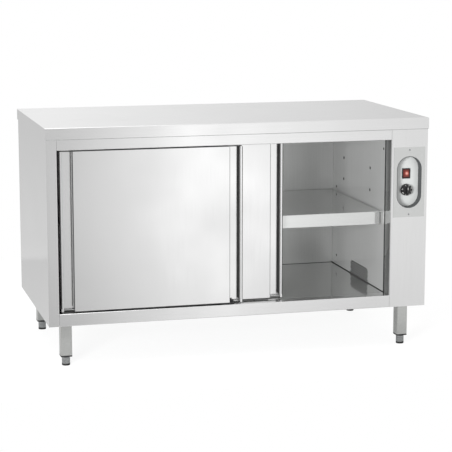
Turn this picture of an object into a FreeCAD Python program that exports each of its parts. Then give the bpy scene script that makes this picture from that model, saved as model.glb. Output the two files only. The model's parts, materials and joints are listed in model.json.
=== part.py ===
import FreeCAD, Part
import math
import os

# Plate warmer cabinet in folded stainless sheet, millimetres, +Z up.
# The origin is the middle of the footprint on the floor, and the doors face -Y.

# Overall size
cabinet_length = 1400.0
cabinet_depth = 700.0
cabinet_height = 850.0
apron_height = 40.0
underside_height = 155.0
side_overhang = 3.0
front_overhang = 1.5
back_overhang = 4.0

# Sheets, bends and clearances
outer_sheet = 1.2
liner_sheet = 1.0
bend = 1.0
liner_bend = 1.5
edge_round = 0.8
worktop_round = 2.0
seat_gap = 0.3
shaft_gap = 0.05
overrun = 5.0
merge_distance = 1e-6

# Worktop
worktop_hem = 15.0
board_thickness = 18.0

# Front frame round the doors
stile_width = 37.0
column_width = 139.0
top_rail_height = 38.0
bottom_rail_height = 44.0
jamb_depth = 55.0
jamb_hem = 12.0
frame_flange = 20.0
rail_lip = 8.0

# Outer trays and back
side_tray_depth = 20.0
base_tray_depth = 18.0
vent_count = 5
vent_length = 80.0
vent_height = 7.0
vent_pitch = 22.0
vent_top_drop = 60.0

# Warm compartment lining
jamb_gap = 7.0
liner_flange = 15.0
back_space = 36.0
floor_flange = 12.0
insulation_gap = 0.5
insulation_thickness = 20.0

# Holes and hot-air grille in the lining's side walls
peg_hole = 8.0
peg_depth_shares = (0.27, 0.776)
peg_height_shares = (0.4817, 0.6265, 0.7714)
spare_hole = 7.0
spare_hole_shares = ((0.032, 0.928), (0.922, 0.552), (0.907, 0.068))
grille_rows = 6
grille_columns = 9
grille_slot_length = 15.5
grille_slot_height = 4.0
grille_pitch = 22.6
grille_row_pitch = 8.5
grille_first_height = 7.5
grille_middle_share = 0.4512

# Shelf and its rails
shelf_above_peg = 24.0
shelf_lip = 48.5
shelf_hem = 12.0
shelf_side_gap = 3.0
shelf_back_gap = 4.0
shelf_front_gap = 6.0
rail_sheet = 1.5
shelf_rail_width = 20.0
shelf_rail_height = 36.0
shelf_rail_end = 20.0
rail_stud = 7.4
rail_stud_reach = 5.0

# Sliding doors
door_overlap = 102.0
door_thickness = 30.0
door_sheet = 1.2
door_set_back = 6.5
lane_pitch = 40.0
door_low_gap = 6.0
door_high_gap = 5.0
front_door_gap = 9.0
rear_door_inset = 170.0
side_stop_gap = 5.0
pull_lip = 9.0
pull_channel = 38.0
pull_bend = 0.8
door_flange = 12.0
groove_half = 3.0
groove_height = 12.0

# Door running gear
hanger_inset = 96.5
hanger_sheet = 2.5
hanger_width = 50.0
hanger_foot = 16.0
hanger_above_pin = 8.0
track_sheet = 2.0
track_web_offset = 10.0
track_rib_half = 1.0
track_rib_height = 3.0
track_front_margin = 11.0
track_back_margin = 10.0
track_end_gap = 2.0
track_ledge_drop = 29.0
roller_radius = 10.5
roller_groove_radius = 8.7
roller_groove_half = 1.5
roller_width = 7.0
roller_pin_radius = 3.0
roller_pin_head = 5.0
roller_pin_head_depth = 1.2
stop_length = 12.0
stop_height = 19.0
stop_gap = 0.5
guide_length = 44.0
guide_margin = 10.0
guide_base = 2.5
guide_fin = 3.0
guide_fin_height = 14.0

# Legs and levelling feet
leg_side = 40.0
leg_wall = 1.5
leg_corner = 3.0
leg_side_inset = 71.0
leg_front_inset = 70.0
leg_back_inset = 65.0
leg_plate = 64.0
leg_plate_sheet = 3.0
leg_low = 38.0
insert_collar = 5.0
insert_plug = 25.0
foot_radius = 14.5
foot_top = 31.0
foot_round = 1.0
stud_radius = 5.0
stud_top = 75.0

# Controls in the column
plate_sheet = 1.2
plate_width = 120.0
plate_height = 256.0
plate_centre_drop = 234.0
pocket_width = 95.0
pocket_height = 190.0
pocket_depth = 33.0
pocket_sheet = 1.2
screw_spacing = 236.0
screw_radius = 1.9
screw_head_radius = 3.6
screw_length = 9.0
switch_drop = 206.0
switch_bezel_width = 31.0
switch_bezel_height = 38.0
switch_bezel_depth = 2.2
switch_wall = 2.0
switch_body_depth = 24.0
rocker_width = 23.4
rocker_height = 28.0
rocker_rise = 4.6
rocker_dip = 2.4
rocker_root = 3.0
rocker_side_gap = 0.35
rocker_tilt_degrees = 8.0
dial_drop = 266.0
dial_radius = 22.0
dial_skirt = 12.0
dial_depth = 23.0
dial_boss_radius = 13.0
dial_boss_taper = 1.5
dial_grip_half = 5.0
dial_grip_depth = 10.0
dial_gap = 1.0
dial_edge = 1.5
spindle_radius = 3.0
spindle_length = 13.0
bush_radius = 5.0
bush_gap = 0.2
thermostat_width = 36.0
thermostat_height = 44.0
thermostat_depth = 28.0
bulb_radius = 3.0
bulb_length = 90.0
bulb_height_share = 0.467
bulb_setback = 120.0
capillary_radius = 1.0
capillary_bend = 16.0

# Warm-air blower behind the grille
fan_radius = 30.0
fan_length = 188.0
fan_offset = 70.0
fan_rise = 38.5
fan_blades = 16
fan_blade_depth = 7.0
fan_blade_sheet = 0.9
fan_blade_bow = 1.0
fan_disc = 1.5
fan_shaft_radius = 3.0
fan_shaft_end = 32.0
fan_gap = 4.5
scroll_sheet = 1.2
scroll_stop_degrees = 60.0
outlet_height = 53.0
end_plate_margin = 3.0
end_plate_foot = 14.0
motor_width = 56.0
motor_height = 50.0
motor_depth = 18.0
motor_standoff = 6.0
motor_bearing_radius = 11.0
motor_coil_radius = 13.0
motor_coil_length = 24.0
heater_radius = 4.0
heater_pitch = 22.0
heater_offset = 20.0
heater_end_gap = 14.0
heater_tail = 16.0

# Supply connection
terminal_poles = 3
terminal_pitch = 16.0
terminal_width = 26.0
terminal_height = 22.0
terminal_clamp = 7.0
terminal_clamp_depth = 8.0
terminal_from_gland = 45.0
gland_from_leg = 52.0
gland_bore = 5.5
gland_thread = 10.0
gland_hex = 13.5
gland_hex_height = 9.0
gland_dome_height = 16.0
gland_dome_radius = 11.5
gland_nut_height = 6.0
gland_above = 10.0
gland_hole_gap = 0.2

# Places that follow from the sizes above
side_x = cabinet_length / 2 - side_overhang
front_y = -cabinet_depth / 2 + front_overhang
back_y = cabinet_depth / 2 - back_overhang
body_low = underside_height
body_high = cabinet_height - apron_height
opening_left = -side_x + stile_width
opening_right = side_x - column_width
opening_low = body_low + bottom_rail_height
opening_high = body_high - top_rail_height
jamb_y = front_y + jamb_depth
liner_front = jamb_y + jamb_gap
liner_back = back_y - back_space
base_z = body_low + outer_sheet
base_top = base_z + outer_sheet
rear_inner_y = back_y - outer_sheet
column_x = (opening_right + side_x) / 2
wall_depth = liner_back - liner_front
wall_height = opening_high - opening_low
grille_middle = liner_front + grille_middle_share * wall_depth
door_width = (opening_right - opening_left + door_overlap - front_door_gap - side_stop_gap) / 2
door_low = opening_low + door_low_gap
door_high = opening_high - door_high_gap
front_door_y = front_y + door_set_back
rear_door_y = front_door_y + lane_pitch
front_door_x = opening_left + front_door_gap
rear_door_x = opening_left + rear_door_inset
pull_width = pull_lip + pull_channel
lane_ys = (front_door_y + door_thickness / 2, rear_door_y + door_thickness / 2)
ceiling_front = lane_ys[1] + track_web_offset + track_sheet + track_back_margin
track_top = body_high - outer_sheet
ledge_top = track_top - track_ledge_drop + track_sheet
rib_top = ledge_top + track_rib_height
roller_z = rib_top + roller_groove_radius + seat_gap
shelf_top = opening_low + peg_height_shares[0] * wall_height + shelf_above_peg
shelf_under = shelf_top - outer_sheet
shelf_front_y = rear_door_y + door_thickness + shelf_front_gap
pocket_floor_y = front_y - plate_sheet + pocket_depth
control_mid_z = cabinet_height - plate_centre_drop
switch_z = cabinet_height - switch_drop
dial_z = cabinet_height - dial_drop
hanger_offset = roller_width / 2 + seat_gap + hanger_sheet
rocker_swing = math.hypot(rocker_height / 2, rocker_rise)
switch_body_width = rocker_width + 2 * (rocker_side_gap + switch_wall / 2)
switch_body_height = 2 * (rocker_swing + rocker_side_gap) + switch_wall
switch_cavity = switch_body_depth / 2
fan_centre_x = opening_right + fan_offset
fan_centre_z = opening_low + fan_rise
scroll_radius = fan_radius + fan_gap
blower_top = fan_centre_z + scroll_radius + scroll_sheet + end_plate_margin
bulb_z = blower_top + bulb_height_share * (dial_z - blower_top)
heater_x = opening_right + liner_sheet + heater_offset
heater_middle_z = fan_centre_z - scroll_radius + outlet_height / 2
gland_y = cabinet_depth / 2 - leg_back_inset - gland_from_leg
terminal_y = gland_y - terminal_from_gland


def at(x, y, z=0.0):
    return FreeCAD.Vector(x, y, z)


def block(x_low, x_high, y_low, y_high, z_low, z_high):
    return Part.makeBox(x_high - x_low, y_high - y_low, z_high - z_low, at(x_low, y_low, z_low))


def round_edges(shape, radius, chosen):
    """Rounds the straight edges whose two end points both pass the test."""
    edges = [edge for edge in shape.Edges if all(chosen(vertex.Point) for vertex in edge.Vertexes)]
    return shape.makeFillet(radius, edges)


def on_level(axis, level):
    """Test for points that lie on one plane square to an axis."""
    return lambda point: abs(point[axis] - level) < merge_distance


def rounded_outline(points, radii):
    """Closed flat wire through the points, each corner rounded by its own radius."""
    starts, mids, ends = [], [], []
    for index, corner in enumerate(points):
        towards_last = (points[index - 1] - corner).normalize()
        towards_next = (points[(index + 1) % len(points)] - corner).normalize()
        half_angle = towards_last.getAngle(towards_next) / 2
        radius = radii[index]
        tangent = radius / math.tan(half_angle)
        reach = radius / math.sin(half_angle) - radius
        starts.append(corner + towards_last * tangent)
        ends.append(corner + towards_next * tangent)
        mids.append(corner + (towards_last + towards_next).normalize() * reach)
    edges = []
    for index, radius in enumerate(radii):
        if radius > 0:
            edges.append(Part.Arc(starts[index], mids[index], ends[index]).toShape())
        following = starts[(index + 1) % len(points)]
        if ends[index].distanceToPoint(following) > merge_distance:
            edges.append(Part.makeLine(ends[index], following))
    return Part.Wire(edges)


def fold_outline(path, sheet, inner_bend, side):
    """Outline of a folded sheet whose seen face follows the path.

    The sheet lies to the left of the path for side 1 and to the right for side -1.
    """
    normals = []
    for first, second in zip(path, path[1:]):
        along = (second - first).normalize()
        normals.append(at(-along.y * side, along.x * side))
    far_points = [path[0] + normals[0] * sheet]
    near_radii = [0.0]
    far_radii = [0.0]
    for index in range(1, len(path) - 1):
        before, after = normals[index - 1], normals[index]
        share = 1 / (1 + before.dot(after))
        far_points.append(path[index] + (before + after) * (sheet * share))
        turn = (before.x * after.y - before.y * after.x) * side
        near_radii.append(inner_bend + sheet if turn > 0 else inner_bend)
        far_radii.append(inner_bend if turn > 0 else inner_bend + sheet)
    far_points.append(path[-1] + normals[-1] * sheet)
    near_radii.append(0.0)
    far_radii.append(0.0)
    return rounded_outline(path + far_points[::-1], near_radii + far_radii[::-1])


def prism(wire, low, high, direction):
    """Solid of a flat outline from low to high along z, x or y.

    The outline's two axes are x and y for z, y and z for x, and x and z for y.
    """
    turns = {
        "z": FreeCAD.Rotation(),
        "x": FreeCAD.Rotation(at(1, 1, 1), 120),
        "y": FreeCAD.Rotation(at(1, 0, 0), 90),
    }
    if direction == "y":
        low, high = -high, -low
    solid = Part.Face(wire).extrude(at(0, 0, high - low))
    solid.translate(at(0, 0, low))
    solid.Placement = FreeCAD.Placement(at(0, 0), turns[direction]).multiply(solid.Placement)
    return solid


def folded(path, sheet, inner_bend, side, low, high, direction):
    points = [at(*point) for point in path]
    return prism(fold_outline(points, sheet, inner_bend, side), low, high, direction)


def corner_reliefs(low, high, size, axis, outward):
    """Small square cuts at the corners of a tray, which let all four edges fold."""
    first, second = [index for index in range(3) if index != axis]
    level = low[axis] if outward > 0 else high[axis] - size
    cuts = []
    for first_start in (low[first], high[first] - size):
        for second_start in (low[second], high[second] - size):
            start = [level] * 3
            start[first] = first_start
            start[second] = second_start
            cuts.append(Part.makeBox(size, size, size, at(*start)))
    return Part.makeCompound(cuts)


def tray(low, high, sheet, inner_bend, open_side):
    """Sheet folded up on four sides, with one open side such as '+x' or '-z'."""
    axis = "xyz".index(open_side[1])
    outward = 1 if open_side[0] == "+" else -1
    closed_level = low[axis] if outward > 0 else high[axis]
    inner_low = [value + sheet for value in low]
    inner_high = [value - sheet for value in high]
    if outward > 0:
        inner_high[axis] = high[axis] + overrun
    else:
        inner_low[axis] = low[axis] - overrun
    outer = block(low[0], high[0], low[1], high[1], low[2], high[2])
    inner = block(inner_low[0], inner_high[0], inner_low[1], inner_high[1], inner_low[2], inner_high[2])
    if inner_bend > 0:
        outer = round_edges(outer, inner_bend + sheet, on_level(axis, closed_level))
        inner = round_edges(inner, inner_bend, on_level(axis, closed_level + outward * sheet))
        outer = outer.cut(corner_reliefs(low, high, inner_bend + sheet, axis, outward))
    return outer.cut(inner)


def cylinder(centre, axis, radius, length):
    return Part.makeCylinder(radius, length, centre, axis)


def revolved(points, centre, axis):
    """Solid of revolution of (radius, height) points about an axis through the centre."""
    wire = Part.makePolygon([at(radius, 0, height) for radius, height in points + points[:1]])
    solid = Part.Face(wire).revolve(at(0, 0, 0), at(0, 0, 1), 360)
    turn = FreeCAD.Rotation(at(0, 0, 1), axis)
    solid.Placement = FreeCAD.Placement(centre, turn)
    return solid


def tube(points, radius, bend_radius):
    """Round rod along straight runs joined by tangent bends."""
    pieces = []
    start = points[0]
    for before, corner, after in zip(points, points[1:], points[2:]):
        towards_last = (before - corner).normalize()
        towards_next = (after - corner).normalize()
        half_angle = towards_last.getAngle(towards_next) / 2
        tangent = bend_radius / math.tan(half_angle)
        bend_start = corner + towards_last * tangent
        bend_end = corner + towards_next * tangent
        inwards = (towards_last + towards_next).normalize()
        bend_centre = corner + inwards * (bend_radius / math.sin(half_angle))
        if bend_start.distanceToPoint(start) > merge_distance:
            pieces.append(cylinder(start, bend_start - start, radius, bend_start.distanceToPoint(start)))
        section = Part.Face(Part.Wire(Part.makeCircle(radius, bend_start, towards_last)))
        hinge = towards_last.cross(towards_next) * -1
        turn = 180 - math.degrees(2 * half_angle)
        pieces.append(section.revolve(bend_centre, hinge, turn))
        start = bend_end
    pieces.append(cylinder(start, points[-1] - start, radius, points[-1].distanceToPoint(start)))
    return pieces[0].fuse(pieces[1:])


def stadium(centre_u, centre_v, length_u, length_v):
    """Flat outline with two straight sides and two half-round ends."""
    half_u, half_v = length_u / 2, length_v / 2
    radius = min(half_u, half_v)
    corners = [(-half_u, -half_v), (half_u, -half_v), (half_u, half_v), (-half_u, half_v)]
    points = [at(centre_u + u, centre_v + v) for u, v in corners]
    return rounded_outline(points, [radius] * len(points))


def rectangle(centre_u, centre_v, width, height, radius=0.0):
    half_u, half_v = width / 2, height / 2
    corners = [(-half_u, -half_v), (half_u, -half_v), (half_u, half_v), (-half_u, half_v)]
    return rounded_outline([at(centre_u + u, centre_v + v) for u, v in corners], [radius] * len(corners))


def make_worktop():
    """Deep-folded top with an apron on all sides and a hem turned in below."""
    half_length, half_depth = cabinet_length / 2, cabinet_depth / 2
    outer = block(-half_length, half_length, -half_depth, half_depth, body_high, cabinet_height)
    outer = round_edges(outer, worktop_round, on_level(2, cabinet_height))
    hollow = block(-half_length + outer_sheet, half_length - outer_sheet,
                   -half_depth + outer_sheet, half_depth - outer_sheet,
                   body_high + outer_sheet, cabinet_height - outer_sheet)
    hollow = round_edges(hollow, worktop_round - outer_sheet, on_level(2, cabinet_height - outer_sheet))
    mouth = block(-half_length + worktop_hem, half_length - worktop_hem,
                  -half_depth + worktop_hem, half_depth - worktop_hem,
                  body_high - overrun, body_high + outer_sheet + overrun)
    return outer.cut(hollow).cut(mouth)


def make_worktop_board():
    """Board glued under the top sheet, which keeps it flat and quiet."""
    half_length = cabinet_length / 2 - worktop_round
    half_depth = cabinet_depth / 2 - worktop_round
    top = cabinet_height - outer_sheet
    return block(-half_length, half_length, -half_depth, half_depth, top - board_thickness, top)


def make_side_panel(side):
    inner_x = side_x - side_tray_depth
    x_low, x_high = sorted((side * side_x, side * inner_x))
    open_side = "+x" if side < 0 else "-x"
    low = (x_low, front_y + outer_sheet, body_low)
    high = (x_high, rear_inner_y, body_high)
    return tray(low, high, outer_sheet, bend, open_side)


def make_back_panel():
    """Flat lapped panel, with vent slots behind the control column."""
    panel = block(-side_x, side_x, rear_inner_y, back_y, body_low, body_high)
    slots = []
    for row in range(vent_count):
        slot_z = body_high - vent_top_drop - row * vent_pitch
        outline = rectangle(column_x, slot_z, vent_length, vent_height)
        slots.append(prism(outline, rear_inner_y - overrun, back_y + overrun, "y"))
    return panel.cut(Part.makeCompound(slots))


def make_base_panel():
    half_length = side_x - outer_sheet - bend
    low = (-half_length, front_y + 2 * outer_sheet + bend, base_z)
    high = (half_length, rear_inner_y - outer_sheet - bend, base_z + base_tray_depth)
    panel = tray(low, high, outer_sheet, 0.0, "+z")
    hole = cylinder(at(column_x, gland_y, base_z - overrun), at(0, 0, 1),
                    gland_thread + gland_hole_gap, outer_sheet + 2 * overrun)
    return panel.cut(hole)


def jamb_foot(x_low, x_high):
    """Cut that ends a stile's jamb above the base panel."""
    return block(x_low, x_high, front_y + outer_sheet, jamb_y + overrun, body_low - overrun,
                 base_z + base_tray_depth)


def make_left_stile():
    path = [(-side_x, front_y), (opening_left, front_y), (opening_left, jamb_y),
            (opening_left - jamb_hem, jamb_y)]
    stile = folded(path, outer_sheet, bend, 1, body_low, body_high, "z")
    return stile.cut(jamb_foot(-side_x, opening_left + overrun))


def make_top_rail():
    path = [(front_y + frame_flange, body_high), (front_y, body_high), (front_y, opening_high),
            (front_y + rail_lip, opening_high)]
    return folded(path, outer_sheet, bend, 1, opening_left, opening_right, "x")


def make_bottom_rail():
    path = [(jamb_y, opening_low - jamb_hem), (jamb_y, opening_low), (front_y, opening_low),
            (front_y, body_low), (front_y + frame_flange, body_low)]
    return folded(path, outer_sheet, bend, 1, opening_left, opening_right, "x")


def make_column_front():
    """Wide folded stile with the cut-out that the control pocket passes through."""
    path = [(opening_right + jamb_hem, jamb_y), (opening_right, jamb_y), (opening_right, front_y),
            (side_x, front_y)]
    column = folded(path, outer_sheet, bend, 1, body_low, body_high, "z")
    grown = 2 * (pocket_sheet + seat_gap)
    outline = stadium(column_x, control_mid_z, pocket_width + grown, pocket_height + grown)
    holes = [prism(outline, front_y - overrun, front_y + outer_sheet + overrun, "y")]
    for side in (-1, 1):
        centre = at(column_x, front_y - overrun, control_mid_z + side * screw_spacing / 2)
        holes.append(cylinder(centre, at(0, 1, 0), screw_radius, outer_sheet + 2 * overrun))
    return column.cut(Part.makeCompound(holes)).cut(jamb_foot(opening_right - overrun, side_x))


def wall_place(depth_share, height_share):
    """(y, z) of a point of the side walls, by its shares of their depth and height."""
    return liner_front + depth_share * wall_depth, opening_low + height_share * wall_height


def peg_places():
    """(y, z) of every shelf peg hole in a side wall, the lowest row first."""
    for height_share in peg_height_shares:
        for depth_share in peg_depth_shares:
            yield wall_place(depth_share, height_share)


def round_hole_tools(places, radius, x_low, x_high):
    return [cylinder(at(x_low, y, z), at(1, 0, 0), radius, x_high - x_low) for y, z in places]


def grille_tools(x_low, x_high):
    """Staggered rows of slots, punched for the hot air."""
    tools = []
    for row in range(grille_rows):
        shifted = row % 2
        slot_z = opening_low + grille_first_height + row * grille_row_pitch
        for column in range(grille_columns - shifted):
            place = column - (grille_columns - 1 - shifted) / 2
            outline = rectangle(grille_middle + place * grille_pitch, slot_z,
                                grille_slot_length, grille_slot_height)
            tools.append(prism(outline, x_low, x_high, "x"))
    return tools


def make_inner_side_wall(side):
    wall_x = opening_right if side > 0 else opening_left
    far_x = wall_x + side * liner_flange
    low = (min(wall_x, far_x), liner_front, opening_low)
    high = (max(wall_x, far_x), liner_back + liner_sheet, opening_high)
    open_side = "+x" if side > 0 else "-x"
    wall = tray(low, high, liner_sheet, liner_bend, open_side)
    cut_low, cut_high = sorted((wall_x - side * overrun, wall_x + side * (liner_sheet + overrun)))
    tools = round_hole_tools(peg_places(), peg_hole / 2, cut_low, cut_high)
    if side > 0:
        spare_places = [wall_place(*shares) for shares in spare_hole_shares]
        tools += round_hole_tools(spare_places, spare_hole / 2, cut_low, cut_high)
        tools += grille_tools(cut_low, cut_high)
    return wall.cut(Part.makeCompound(tools))


def make_inner_back_wall():
    low = (opening_left, liner_back, opening_low)
    high = (opening_right, liner_back + liner_flange, opening_high)
    return tray(low, high, liner_sheet, 0.0, "+y")


def make_inner_ceiling():
    low = (opening_left - liner_flange, ceiling_front, opening_high)
    high = (opening_right + liner_flange, liner_back + liner_flange, opening_high + liner_flange)
    return tray(low, high, liner_sheet, 0.0, "+z")


def make_inner_floor():
    low = (opening_left - liner_flange, jamb_y, opening_low - floor_flange)
    high = (opening_right + liner_flange, liner_back + liner_flange, opening_low)
    return tray(low, high, liner_sheet, 0.0, "-z")


def make_wall_insulation():
    """Mineral wool boards under the floor, over the ceiling, at the back and in the left side."""
    edge = liner_sheet + liner_bend + insulation_gap
    x_low = opening_left - liner_flange + edge
    x_high = opening_right + liner_flange - edge
    y_high = liner_back + liner_flange - edge
    floor_z = opening_low - liner_sheet
    ceiling_z = opening_high + liner_sheet
    behind_y = liner_back + liner_sheet
    side_low = -side_x + outer_sheet
    under = block(x_low, x_high, jamb_y + edge, y_high, floor_z - insulation_thickness, floor_z)
    over = block(x_low, x_high, ceiling_front + edge, y_high, ceiling_z, ceiling_z + insulation_thickness)
    behind = block(opening_left + edge, opening_right - edge, behind_y, behind_y + insulation_thickness,
                   opening_low + edge, opening_high - edge)
    left = block(side_low, side_low + insulation_thickness, liner_front + edge, liner_back - edge,
                 opening_low + edge, opening_high - edge)
    return Part.makeCompound([under, over, behind, left])


def make_shelf():
    """Loose shelf: one sheet with a deep lip and hem at the front and the back."""
    back = liner_back - shelf_back_gap
    lip_low = shelf_top - shelf_lip
    path = [(shelf_front_y + shelf_hem, lip_low), (shelf_front_y, lip_low), (shelf_front_y, shelf_top),
            (back, shelf_top), (back, lip_low), (back - shelf_hem, lip_low)]
    return folded(path, outer_sheet, bend, -1, opening_left + shelf_side_gap,
                  opening_right - shelf_side_gap, "x")


def make_shelf_rails():
    """Angle rails hooked by two studs into the lowest row of peg holes."""
    rail_top = shelf_under - seat_gap
    y_low = shelf_front_y + outer_sheet + shelf_rail_end
    y_high = liner_back - shelf_back_gap - outer_sheet - shelf_rail_end
    stud_places = list(peg_places())[:len(peg_depth_shares)]
    rails = []
    for side, wall_x in ((-1, opening_left), (1, opening_right)):
        path = [(wall_x, rail_top - shelf_rail_height), (wall_x, rail_top),
                (wall_x - side * shelf_rail_width, rail_top)]
        rail = folded(path, rail_sheet, rail_sheet, side, y_low, y_high, "y")
        for stud_y, stud_z in stud_places:
            root_x = wall_x - side * rail_sheet
            stud = cylinder(at(root_x, stud_y, stud_z), at(side, 0, 0), rail_stud / 2,
                            rail_sheet + rail_stud_reach)
            rail = rail.fuse(stud)
        rails.append(rail.removeSplitter())
    return Part.makeCompound(rails)


def make_door_skin(x, y):
    """Front sheet of a door, turned in at the top and the bottom."""
    panel_left = x + pull_width
    panel_right = x + door_width - pull_width
    face = block(panel_left, panel_right, y, y + door_sheet, door_low, door_high)
    face = round_edges(face, edge_round, on_level(1, y))
    low = (panel_left + door_sheet, y, door_low)
    high = (panel_right - door_sheet, y + door_flange, door_high)
    folds = tray(low, high, door_sheet, 0.0, "+y")
    trim = block(low[0] - overrun, high[0] + overrun, y - overrun, y + door_sheet,
                 door_low - overrun, door_high + overrun)
    return face.fuse(folds.cut(trim)).removeSplitter()


def make_door_pull(x, y, mirrored):
    """Folded edge profile with the finger channel that runs the full height."""
    floor_v = door_thickness - 2 * door_sheet
    shape = [(pull_width, door_sheet), (pull_width, floor_v), (pull_lip, floor_v), (pull_lip, 0.0),
             (0.0, 0.0), (0.0, door_thickness - door_sheet)]
    side = -1
    if mirrored:
        shape = [(door_width - u, v) for u, v in shape]
        side = 1
    path = [(x + u, y + v) for u, v in shape]
    pull = folded(path, door_sheet, pull_bend, side, door_low, door_high, "z")
    lane_y = y + door_thickness / 2
    notch = block(x - overrun, x + door_width + overrun, lane_y - groove_half, lane_y + groove_half,
                  door_low - overrun, door_low + groove_height)
    return pull.cut(notch)


def make_door_back(x, y):
    """Back sheet of a door, with a flange at the top and the bottom."""
    back_y_low = y + door_thickness - door_sheet
    sheet = block(x, x + door_width, back_y_low, y + door_thickness, door_low, door_high)
    flange_low = x + pull_width + 2 * door_sheet
    flange_high = x + door_width - pull_width - 2 * door_sheet
    flange_y = y + door_thickness - door_flange
    flanges = [block(flange_low, flange_high, flange_y, back_y_low, z, z + door_sheet)
               for z in (door_low, door_high - door_sheet)]
    return sheet.fuse(flanges).removeSplitter()


def make_door_core(x, y):
    """Insulating slab between the door's two sheets, above the guide groove."""
    inset = pull_width + 2 * door_sheet
    return block(x + inset, x + door_width - inset, y + door_sheet, y + door_thickness - door_sheet,
                 door_low + groove_height + seat_gap, door_high - door_sheet)


def hanger_xs(door_x):
    return (door_x + hanger_inset, door_x + door_width - hanger_inset)


def make_door_hangers(x, y):
    """Two angle brackets on the door's top edge, each with a riveted roller pin."""
    lane_y = y + door_thickness / 2
    plate_y = lane_y - hanger_offset
    plate_top = roller_z + hanger_above_pin
    hangers = []
    for centre_x in hanger_xs(x):
        x_low = centre_x - hanger_width / 2
        x_high = centre_x + hanger_width / 2
        path = [(plate_y, plate_top), (plate_y, door_high), (plate_y + hanger_foot, door_high)]
        bracket = folded(path, hanger_sheet, bend, 1, x_low, x_high, "x")
        pin_length = hanger_offset + roller_width / 2 + seat_gap
        pin = cylinder(at(centre_x, plate_y, roller_z), at(0, 1, 0), roller_pin_radius, pin_length)
        head = cylinder(at(centre_x, plate_y + pin_length, roller_z), at(0, 1, 0), roller_pin_head,
                        roller_pin_head_depth)
        hangers.append(bracket.fuse([pin, head]).removeSplitter())
    return Part.makeCompound(hangers)


def make_roller(centre_x, lane_y):
    """Grooved plastic roller that runs on the track's rib."""
    half = roller_width / 2
    bore = roller_pin_radius + shaft_gap
    profile = [(bore, -half), (roller_radius, -half), (roller_groove_radius, -roller_groove_half),
               (roller_groove_radius, roller_groove_half), (roller_radius, half), (bore, half)]
    return revolved(profile, at(centre_x, lane_y, roller_z), at(0, 1, 0))


def make_door_track():
    """Twin track: each lane hangs a web, a ledge and the rib that the rollers run on."""
    x_low = opening_left + track_end_gap
    x_high = opening_right - track_end_gap
    y_low = lane_ys[0] - track_front_margin
    y_high = ceiling_front - seat_gap
    track = block(x_low, x_high, y_low, y_high, track_top - track_sheet, track_top)
    for lane_y in lane_ys:
        web = block(x_low, x_high, lane_y + track_web_offset, lane_y + track_web_offset + track_sheet,
                    ledge_top, track_top - track_sheet)
        ledge = block(x_low, x_high, lane_y - track_rib_half, lane_y + track_web_offset + track_sheet,
                      ledge_top - track_sheet, ledge_top)
        rib = block(x_low, x_high, lane_y - track_rib_half, lane_y + track_rib_half, ledge_top, rib_top)
        track = track.fuse([web, ledge, rib])
    return track.removeSplitter()


def make_track_stops(track):
    """Rubber blocks clamped on the ledges, where the rollers come to rest."""
    first_x = hanger_xs(front_door_x)[0]
    last_x = hanger_xs(opening_right - side_stop_gap - door_width)[1]
    reach = roller_radius + stop_gap
    stops = []
    for lane_y in lane_ys:
        for x_low in (first_x - reach - stop_length, last_x + reach):
            stop = block(x_low, x_low + stop_length, lane_y - roller_width / 2,
                         lane_y + track_web_offset, ledge_top, ledge_top + stop_height)
            stops.append(stop.cut(track))
    return Part.makeCompound(stops)


def make_bottom_guide():
    """Nylon guide in the middle of the sill, with a fin in each door's groove."""
    middle_x = front_door_x + door_width - door_overlap / 2
    x_low = middle_x - guide_length / 2
    x_high = middle_x + guide_length / 2
    guide = block(x_low, x_high, lane_ys[0] - guide_margin, lane_ys[1] + guide_margin,
                  opening_low, opening_low + guide_base)
    for lane_y in lane_ys:
        outline = stadium(middle_x, lane_y, guide_length, guide_fin)
        guide = guide.fuse(prism(outline, opening_low, opening_low + guide_fin_height, "z"))
    return guide.removeSplitter()


def leg_places():
    half_length, half_depth = cabinet_length / 2, cabinet_depth / 2
    for y_name, y in (("front", -half_depth + leg_front_inset), ("rear", half_depth - leg_back_inset)):
        for x_name, x in (("left", -half_length + leg_side_inset), ("right", half_length - leg_side_inset)):
            yield y_name + "_" + x_name, x, y


def make_leg(x, y):
    """Square tube welded to a plate under the base panel."""
    plate_low = base_z - leg_plate_sheet
    outer = prism(rectangle(x, y, leg_side, leg_side, leg_corner), leg_low, plate_low, "z")
    hollow_side = leg_side - 2 * leg_wall
    hollow = prism(rectangle(x, y, hollow_side, hollow_side, leg_corner - leg_wall), leg_low - overrun,
                   plate_low, "z")
    plate = prism(rectangle(x, y, leg_plate, leg_plate), plate_low, base_z, "z")
    return outer.cut(hollow).fuse(plate).removeSplitter()


def make_leg_inserts():
    """Plastic end inserts with the threaded bore for the foot's stud."""
    inserts = []
    for _name, x, y in leg_places():
        collar = prism(rectangle(x, y, leg_side, leg_side, leg_corner), leg_low - insert_collar,
                       leg_low, "z")
        plug_side = leg_side - leg_wall - leg_corner
        plug = prism(rectangle(x, y, plug_side, plug_side), leg_low, leg_low + insert_plug, "z")
        bore = cylinder(at(x, y, leg_low - insert_collar - overrun), at(0, 0, 1),
                        stud_radius + shaft_gap, insert_collar + insert_plug + 2 * overrun)
        inserts.append(collar.fuse(plug).removeSplitter().cut(bore))
    return Part.makeCompound(inserts)


def make_foot(x, y):
    """Levelling foot: turned body on its soft pad, and a threaded stud."""
    profile = [(0.0, 0.0), (foot_radius - foot_round, 0.0), (foot_radius, foot_round),
               (foot_radius, foot_top), (stud_radius, foot_top),
               (stud_radius, stud_top), (0.0, stud_top)]
    return revolved(profile, at(x, y, 0), at(0, 0, 1))


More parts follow.
